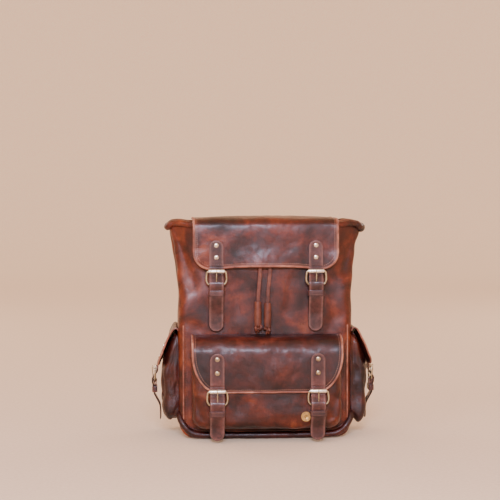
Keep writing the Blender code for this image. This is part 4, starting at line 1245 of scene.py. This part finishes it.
def makeChape(name, where, body):
    # the leather folded round the lower bar, and the keeper loop round the strip
    plane, drop, eye = strip["plane"], strip["barDrop"], 0.0025
    back, ahead, foot = 0.0040, 0.0062, strip["barDrop"] + strip["chapeFoot"]
    path = [(back, -foot), (back, -drop - 0.0065), (back + 0.0002, -drop - 0.004)]
    path += [(plane - eye * math.cos(t), -drop + eye * math.sin(t)) for t in
             [math.radians(d) for d in (0, 45, 90, 135, 180)]]
    path += [(ahead + 0.0012, -drop - 0.0040), (ahead + 0.0003, -drop - 0.0068), (ahead, -drop - 0.0105),
             (ahead, -foot)]
    parts = []
    for a in (-0.0063, 0.0063):
        shifted = dict(where, origin=where["origin"] + where["across"] * a)
        place, total = bentSheet(shifted, path)
        parts.append(leatherSheet(f"{name}_chapeFold", place, total, 0.0037, 0.0015, 4, 48))
    half, front = strip["half"] + 0.0014, strip["kept"] + strip["thickness"] / 2 + 0.0014
    corners = [(0, front), (half - 0.003, front), (half - 0.0004, front - 0.0012), (half, front - 0.004),
               (half, back), (half - 0.001, back - 0.001), (0, back - 0.001)]
    corners += [(-a, o) for a, o in reversed(corners[1:-1])]
    loop = smoothLine([Vector((a, o, 0)) for a, o in corners], 72, closed=True)

    def ring(across, along):
        p = loop[round(across * 72) % 72]
        swell = 1.0 + 0.012 * math.sin(math.pi * along)
        return onStand(where, p.x * swell, p.y * swell, -foot + 0.0102 * along)

    keeper = shapedGrid(f"{name}_keeper", 72, 8, ring, closed=True)
    modify(keeper, "SOLIDIFY", thickness=0.0016, offset=0.0)
    roundEdges(keeper, 0.0004)
    smoothShade(keeper)
    chape = joinPieces(f"{name}_chapeLeather", parts + [keeper])
    finish(chape, body, strapLeather, "strap_leather", f"{name}_chape")
    # two pressed lines round the keeper
    for lift in (0.0026, 0.0076):
        line = [onStand(where, p.x * 1.004, p.y + 0.00075, -foot + lift) for p in loop[60:72] + loop[:13]]
        finish(tube(f"{name}_keeperLine_{round(lift * 10000)}", line, 0.0003, sides=1), body, seamThread,
               "strap_leather")


def makeRivetPattern():
    # a domed cap on a thin washer
    bpy.ops.object.select_all(action="DESELECT")
    bpy.ops.mesh.primitive_uv_sphere_add(segments=24, ring_count=12, radius=1.0, location=(0, 0, 0))
    cap = bpy.context.object
    cap.name = "rivetPattern"
    for vertex in cap.data.vertices:
        x, y, z = vertex.co
        flat = math.sqrt(max(0.0, z)) if z > 0 else -0.15
        vertex.co = (x * rivet["radius"], y * rivet["radius"], flat * rivet["height"])
    return cap


rivetPattern = makeRivetPattern()
for kind in ("lid", "front", "side"):
    for side in (-1, 1):
        makeStrip(f"{kind}_strap_{'left' if side < 0 else 'right'}", kind, side)
print("strips buckled")


# the magnetic snap on the front pocket

snap = {"place": (0.0680, 0.0475), "radius": 0.0088, "thickness": 0.0016}


def makeSnap():
    bpy.ops.object.select_all(action="DESELECT")
    bpy.ops.mesh.primitive_cylinder_add(vertices=48, radius=snap["radius"], depth=snap["thickness"],
                                        location=(0, 0, 0))
    disc = bpy.context.object
    disc.name = "snapDisc"
    editFaces(disc, lambda f: f.normal.z > 0.9)
    bpy.ops.mesh.inset(thickness=0.0016)
    bpy.ops.transform.translate(value=(0, 0, -0.0004))
    bpy.ops.mesh.inset(thickness=0.0040)
    bpy.ops.transform.translate(value=(0, 0, 0.0002))
    bpy.ops.mesh.inset(thickness=0.0012)
    bpy.ops.transform.translate(value=(0, 0, -0.0012))
    leaveEdit()
    roundEdges(disc, 0.0003, 3, 30)
    x, z = snap["place"]
    here, normal = onSurface(pocketSkin, (x, -0.3, z), (0, 1, 0))
    disc.data.transform(standing(here + normal * snap["thickness"] * 0.6, Vector((1, 0, 0)), normal))
    smoothShade(disc, 40)
    finish(disc, "bag", snapMetal, "brass_hardware")


makeSnap()


# seams and the rolled edge at the foot of the bag

foot = {"rollRadius": 0.0062, "seamRadius": 0.0016}


def makeFootRoll():
    rightEnd = [(0.0600, -0.0708, 0.0068), (0.1150, -0.0705, 0.0078), (0.1340, -0.0705, 0.0125),
                (0.1460, -0.0700, 0.0240), (0.1530, -0.0640, 0.036), (0.1545, -0.050, 0.050)]
    front = [(-x, y, z) for x, y, z in reversed(rightEnd)] + [(0.0, -0.0708, 0.0066)] + rightEnd
    line = smoothLine(front, 150)
    radii = [1.0 + 0.10 * noise.noise(p * 60) + 0.05 * noise.noise(p * 170) for p in line]
    radii = [r * ease(min(i, 150 - i) / 8 + 0.25) for i, r in enumerate(radii)]
    roll = tube("footRoll", line, foot["rollRadius"], sides=5, radii=radii)
    finish(roll, "bag", pocketLeather, "bag_leather")
    seam = [Vector((p.x, -0.0716, p.z + 0.0088)) for p in line[18:-18]]
    finish(tube("footSeam", seam, 0.0011, sides=2), "bag", strapLeather, "strap_leather")


def makeBodySeams():
    # the welts where the front meets the side walls, beside the front pocket
    for side in (-1, 1):
        end = "left" if side < 0 else "right"
        skinLine = []
        for i in range(40):
            z = mix(0.034, 0.205, i / 39)
            place, normal = onSurface(bodySkin, (side * 0.1475, -0.3, z), (0, 1, 0))
            skinLine.append(place + Vector((0, 0.0004, 0)))
        finish(tube(f"frontWelt_{end}", skinLine, foot["seamRadius"], sides=3), "bag", pipingLeather,
               "strap_leather")
        places = []
        for a, b in zip(skinLine, skinLine[1:]):
            here, normal = onSurface(bodySkin, (side * 0.1430, -0.3, a.z), (0, 1, 0))
            places.append(standing(here, b - a, normal))
        sew(f"frontWeltStitches_{end}", places, "bag")


makeFootRoll()
makeBodySeams()
print("seams laid")


# carrying straps and handle

carry = {
    "path": [(0.058, 0.083, 0.352), (0.059, 0.093, 0.349), (0.063, 0.105, 0.334), (0.071, 0.117, 0.302),
             (0.083, 0.123, 0.252), (0.095, 0.121, 0.202), (0.105, 0.114, 0.152)],
    "widths": [0.011, 0.013, 0.018, 0.024, 0.024, 0.024, 0.018], "thickness": 0.006,
    "lower": [(0.1022, 0.1115, 0.170), (0.1055, 0.1118, 0.150), (0.112, 0.1058, 0.111), (0.119, 0.095, 0.071),
              (0.123, 0.0868, 0.046), (0.1245, 0.0836, 0.033)],
    "lowerHalf": 0.0125, "lowerThickness": 0.003,
    # the two points a strap swings about, and the rings it hangs by
    "anchors": [(0.058, 0.0800, 0.352), (0.124, 0.0800, 0.036)], "ringRadius": 0.0056, "ringWire": 0.0012,
}


def strapSkin(points, widths, side, count):
    line = smoothLine([(side * x, y, z) for x, y, z in points], count)

    def place(a, t, proud=0.0):
        f = min(max(t, 0.0), 1.0) * count
        i = min(int(f), count - 1)
        here = line[i].lerp(line[i + 1], f - i)
        run = (line[min(i + 1, count)] - line[max(i - 1, 0)]).normalized()
        across = run.cross(Vector((0, 1, 0.12))).normalized()
        normal = across.cross(run).normalized()
        if normal.y < 0:
            normal = -normal
        g = min(max(t, 0.0), 1.0) * (len(widths) - 1)
        k = min(int(g), len(widths) - 2)
        half = mix(widths[k], widths[k + 1], ease(g - k))
        return here + across * half * a + normal * proud

    return place, lineLength(line)


def rimStitches(place, length, rim, reach, proud, lift):
    # where the stitches lie along both rims of a strap; rim is a share of its half width, reach of its length
    places = []
    for a in (-rim, rim):
        for i in range(int(length / stitch["pitch"])):
            t = (i + 0.5) * stitch["pitch"] / length
            here, ahead = place(a, t, proud), place(a, t + reach, proud)
            normal = (place(a, t, proud + 0.001) - here).normalized()
            places.append(standing(here + normal * lift, ahead - here, normal))
    return places


def swingAxis(side, anchor):
    # an anchor, and the direction of the line a strap swings about
    top, low = [Vector((side * x, y, z)) for x, y, z in carry["anchors"]]
    return Vector((side * anchor[0], anchor[1], anchor[2])), (low - top).normalized()


def makeCarryingStrap(side):
    end = "left" if side < 0 else "right"
    body = f"shoulder_strap_{end}"
    place, length = strapSkin(carry["path"], carry["widths"], side, 60)
    thick = carry["thickness"]

    # the pad: a closed cushion, fuller in the middle, flat at its sewn edges
    def shape(across, along):
        turn = across * 2 * math.pi
        a, up = math.cos(turn), math.sin(turn)
        a = math.copysign(abs(a) ** 0.75, a)
        full = (1 - abs(a) ** 2.6) ** 0.5 if abs(a) < 1 else 0.0
        rim = ease(min(along, 1 - along) / 0.05)
        swell = thick * 0.5 * (0.36 + 0.72 * full * rim)
        swell *= 1.0 + 0.10 * noise.noise(Vector((a * 2, along * 9, side * 2)))
        return place(a, along, math.copysign(swell, up) if abs(up) > 1e-6 else 0.0)

    pad = shapedGrid(f"shoulderPad_{end}", 48, 90, shape, closed=True)
    editAll(pad)
    bpy.ops.mesh.select_mode(type="EDGE")
    bpy.ops.mesh.select_all(action="DESELECT")
    bpy.ops.mesh.select_non_manifold()
    bpy.ops.mesh.fill_holes(sides=0)
    bpy.ops.mesh.select_all(action="SELECT")
    bpy.ops.mesh.normals_make_consistent(inside=False)
    leaveEdit()
    smoothShade(pad, 80)
    finish(pad, body, bodyLeather, "strap_leather", f"shoulder_strap_{end}")
    sew(f"shoulderStitches_{end}", rimStitches(place, length, 0.84, 0.004, 0.0, thick * 0.36), body)

    # the plain lower strap, which runs up under the pad's end through a slider
    low, length = strapSkin(carry["lower"], [carry["lowerHalf"]] * 5 + [0.010], side, 50)
    lowStrap = shapedGrid(f"lowerStrapLeather_{end}", 12, 60, lambda u, v: low(u * 2 - 1, v))
    modify(lowStrap, "SOLIDIFY", thickness=carry["lowerThickness"] * 0.85, offset=0.0)
    roundEdges(lowStrap, 0.0006)
    smoothShade(lowStrap)
    finish(lowStrap, body, strapLeather, "strap_leather", f"lower_strap_{end}")
    sew(f"lowerStitches_{end}", rimStitches(low, length, 0.78, 0.010, 0.0014, 0.0), body)
    # the slider: a flat ring of wire with a middle bar
    ring = []
    for a, t in ((-1.28, 0.17), (0, 0.17), (1.28, 0.17), (1.34, 0.26), (1.28, 0.35), (0, 0.35), (-1.28, 0.35),
                 (-1.34, 0.26)):
        ring.append(low(a, t, 0.0030))
    wire = tube(f"strapSlider_{end}", smoothLine(ring, 64, closed=True)[:-1], 0.0015, closed=True, sides=3)
    bar = tube(f"strapSliderBar_{end}", [low(-1.3, 0.26, 0.0030), low(0, 0.26, 0.0034), low(1.3, 0.26, 0.0030)],
               0.0014, sides=3)
    finish(joinPieces(f"strapSlider_{end}", [wire, bar]), body, buckleMetal, "brass_hardware")
    # a ring at each end, which turns on the pin of its lug
    for spot, anchor in zip(("top", "low"), carry["anchors"]):
        centre, axis = swingAxis(side, anchor)
        flatX = axis.cross(Vector((0, 1, 0))).normalized()
        turns = [math.radians(10 * i) for i in range(36)]
        line = [centre + Vector((0, 0.0015, 0)) + flatX * carry["ringRadius"] * math.cos(t)
                + Vector((0, 1, 0)) * carry["ringRadius"] * math.sin(t) for t in turns]
        finish(tube(f"strapRing_{spot}_{end}", line, carry["ringWire"], closed=True, sides=3), body,
               buckleMetal, "brass_hardware")


# the handle hangs in a bow behind the bag; top is the height of its lugs
handle = {"half": 0.024, "drop": 0.036, "top": 0.3715, "out": 0.077, "radius": 0.0050}


def makeHandle():
    w, drop, top, out = handle["half"], handle["drop"], handle["top"], handle["out"]
    line = [Vector((-w, out, top - 0.0022))]
    line += [Vector((w * math.cos(t), out, top - 0.008 + (drop - 0.008) * math.sin(t)))
             for t in [math.radians(180 + 18 * i) for i in range(11)]]
    line.append(Vector((w, out, top - 0.0022)))
    line = smoothLine(line, 80)
    radii = [1.0 + 0.03 * math.sin(i * 1.1) for i in range(81)]
    grip = tube("grabHandleRoll", line, handle["radius"], sides=5, radii=radii)
    finish(grip, "grab_handle", strapLeather, "strap_leather", "grab_handle")
    places = []
    for a, b in zip(line[4:-4], line[5:-3]):
        places.append(standing((a + b) / 2 + Vector((0, handle["radius"], 0)), b - a, Vector((0, 1, 0))))
    sew("handleStitches", places[::2], "grab_handle")


def makeBackLugs():
    # the sewn leather patches that the straps and the handle hang from
    ends = ((-1, "left"), (1, "right"))
    lugs = [(f"handleLug_{end}", (side * handle["half"], handle["top"]), 0.0075, 0.013) for side, end in ends]
    for side, end in ends:
        lugs += [(f"topLug_{end}", (side * 0.058, 0.351), 0.0125, 0.022),
                 (f"lowLug_{end}", (side * 0.124, 0.036), 0.0125, 0.022)]
    for name, (x, z), half, rise in lugs:
        def place(a, s, proud=0.0, x=x, z=z, rise=rise):
            return Vector((x + a, 0.0712 + proud, z + rise / 2 - s))

        patch = leatherSheet(name, place, rise, half, 0.0024, 10, 10, endCorner=(0.004, 0.004),
                             startCorner=(0.004, 0.004))
        finish(patch, "bag", strapLeather, "strap_leather")
        seam = rimPath(half, rise, (0.004, 0.004), 0.0016, 0.002)
        sew(name + "_stitches", stitchPlaces(place, seam, 0.0013), "bag")
        if name[:3] == "top" or name[:3] == "low":
            # an upright eye, whose outer side is the pin of the strap's ring
            side = 1 if x > 0 else -1
            centre, axis = swingAxis(side, carry["anchors"][0 if name[:3] == "top" else 1])
            line = [centre + axis * up + Vector((0, out, 0)) for up, out in (
                (-0.0072, -0.0080), (-0.0072, -0.0040), (-0.0066, -0.0012), (-0.0045, 0.0), (0.0, 0.0),
                (0.0045, 0.0), (0.0066, -0.0012), (0.0072, -0.0040), (0.0072, -0.0080))]
        else:
            line = [Vector((x + a, y, z)) for a, y in ((-0.0042, 0.0715), (-0.0042, 0.0775), (0.0042, 0.0775),
                                                       (0.0042, 0.0715))]
        eye = tube(name + "_eye", smoothLine(line, 24), 0.0013, sides=3)
        finish(eye, "bag", buckleMetal, "brass_hardware")


for side in (-1, 1):
    makeCarryingStrap(side)
makeHandle()
makeBackLugs()
print("carrying straps and handle made")

for pattern in (stitchPattern, rivetPattern):
    bpy.data.objects.remove(pattern)


# stage and light

def makeStage():
    # a round floor that sweeps up into a low wall, wide enough to stand behind every view
    bpy.ops.object.select_all(action="DESELECT")
    bpy.ops.mesh.primitive_circle_add(vertices=96, radius=5.0, fill_type="NGON", location=(0, 0, 0))
    sweep = bpy.context.object
    sweep.name = "paperSweep"
    bpy.ops.object.mode_set(mode="EDIT")
    bpy.ops.mesh.select_mode(type="EDGE")
    bpy.ops.mesh.select_all(action="SELECT")
    bpy.ops.mesh.extrude_region_move(TRANSFORM_OT_translate={"value": (0, 0, 0)})
    for step in range(1, 9):
        angle = math.radians(90) * step / 8
        grow = (5.0 + 1.2 * math.sin(angle)) / (5.0 + 1.2 * math.sin(angle - math.radians(90) / 8))
        rise = 1.2 * (math.cos(angle - math.radians(90) / 8) - math.cos(angle))
        bpy.ops.transform.resize(value=(grow, grow, 1), center_override=(0, 0, 0))
        bpy.ops.transform.translate(value=(0, 0, rise))
        bpy.ops.mesh.extrude_region_move(TRANSFORM_OT_translate={"value": (0, 0, 0)})
    bpy.ops.transform.translate(value=(0, 0, 2.0))
    bpy.ops.mesh.select_all(action="SELECT")
    bpy.ops.mesh.remove_doubles(threshold=0.0001)
    leaveEdit()
    smoothShade(sweep, 40)
    look, tree, shader = blank("matteBackgroundPaper", 0.9)
    place = addNode(tree, "TexCoord").outputs["Object"]
    fibre = addNode(tree, "TexNoise", Vector=place, Scale=160.0, Detail=4.0)
    tone = ramp(tree, fibre.outputs["Fac"], [(0.3, "#dcc5ac"), (0.7, "#e4cfb8")])
    tree.links.new(tone, shader.inputs["Base Color"])
    # the far paper has its own light, as a studio's lit background has
    flat = addNode(tree, "VectorMath", {"operation": "MULTIPLY"}, i0=place, i1=(1, 1, 0))
    away = addNode(tree, "VectorMath", {"operation": "LENGTH"}, i0=flat.outputs[0])
    glow = addNode(tree, "MapRange", {"interpolation_type": "SMOOTHSTEP"}, Value=away.outputs["Value"],
                   i1=1.2, i2=5.0, i3=0.16, i4=0.48)
    tree.links.new(tone, shader.inputs["Emission Color"])
    tree.links.new(glow.outputs[0], shader.inputs["Emission Strength"])
    sweep.data.materials.append(look)


def addSoftbox(name, place, aim, size, power, tint):
    data = bpy.data.lights.new(name, "AREA")
    data.shape = "RECTANGLE"
    data.size, data.size_y = size
    data.energy = power
    data.color = colour(tint)[:3]
    lamp = bpy.data.objects.new(name, data)
    bpy.context.scene.collection.objects.link(lamp)
    lamp.location = place
    lamp.rotation_euler = (Vector(aim) - lamp.location).to_track_quat("-Z", "Y").to_euler()


def makeLight():
    addSoftbox("keySoftbox", (-1.5, -1.7, 1.8), (0, 0, 0.2), (0.8, 0.6), 13, "#f6f4ff")
    addSoftbox("windowSoftbox", (-0.22, -3.1, 1.46), (0, 0, 0.25), (0.80, 0.44), 124, "#dde2ff")
    addSoftbox("fillSoftbox", (1.9, -1.2, 0.9), (0, 0, 0.2), (0.8, 1.1), 3, "#fff0e4")
    for side, end in ((-1, "left"), (1, "right")):
        addSoftbox(f"backSoftbox_{end}", (side * 2.0, 1.9, 1.3), (0, 0, 0.2), (0.9, 0.9), 20, "#fff6ec")
    world = bpy.context.scene.world or bpy.data.worlds.new("studio")
    bpy.context.scene.world = world
    world.use_nodes = True
    backdrop = world.node_tree.nodes["Background"]
    backdrop.inputs["Color"].default_value = colour("#e9e2da")
    backdrop.inputs["Strength"].default_value = 0.24


makeStage()
makeLight()
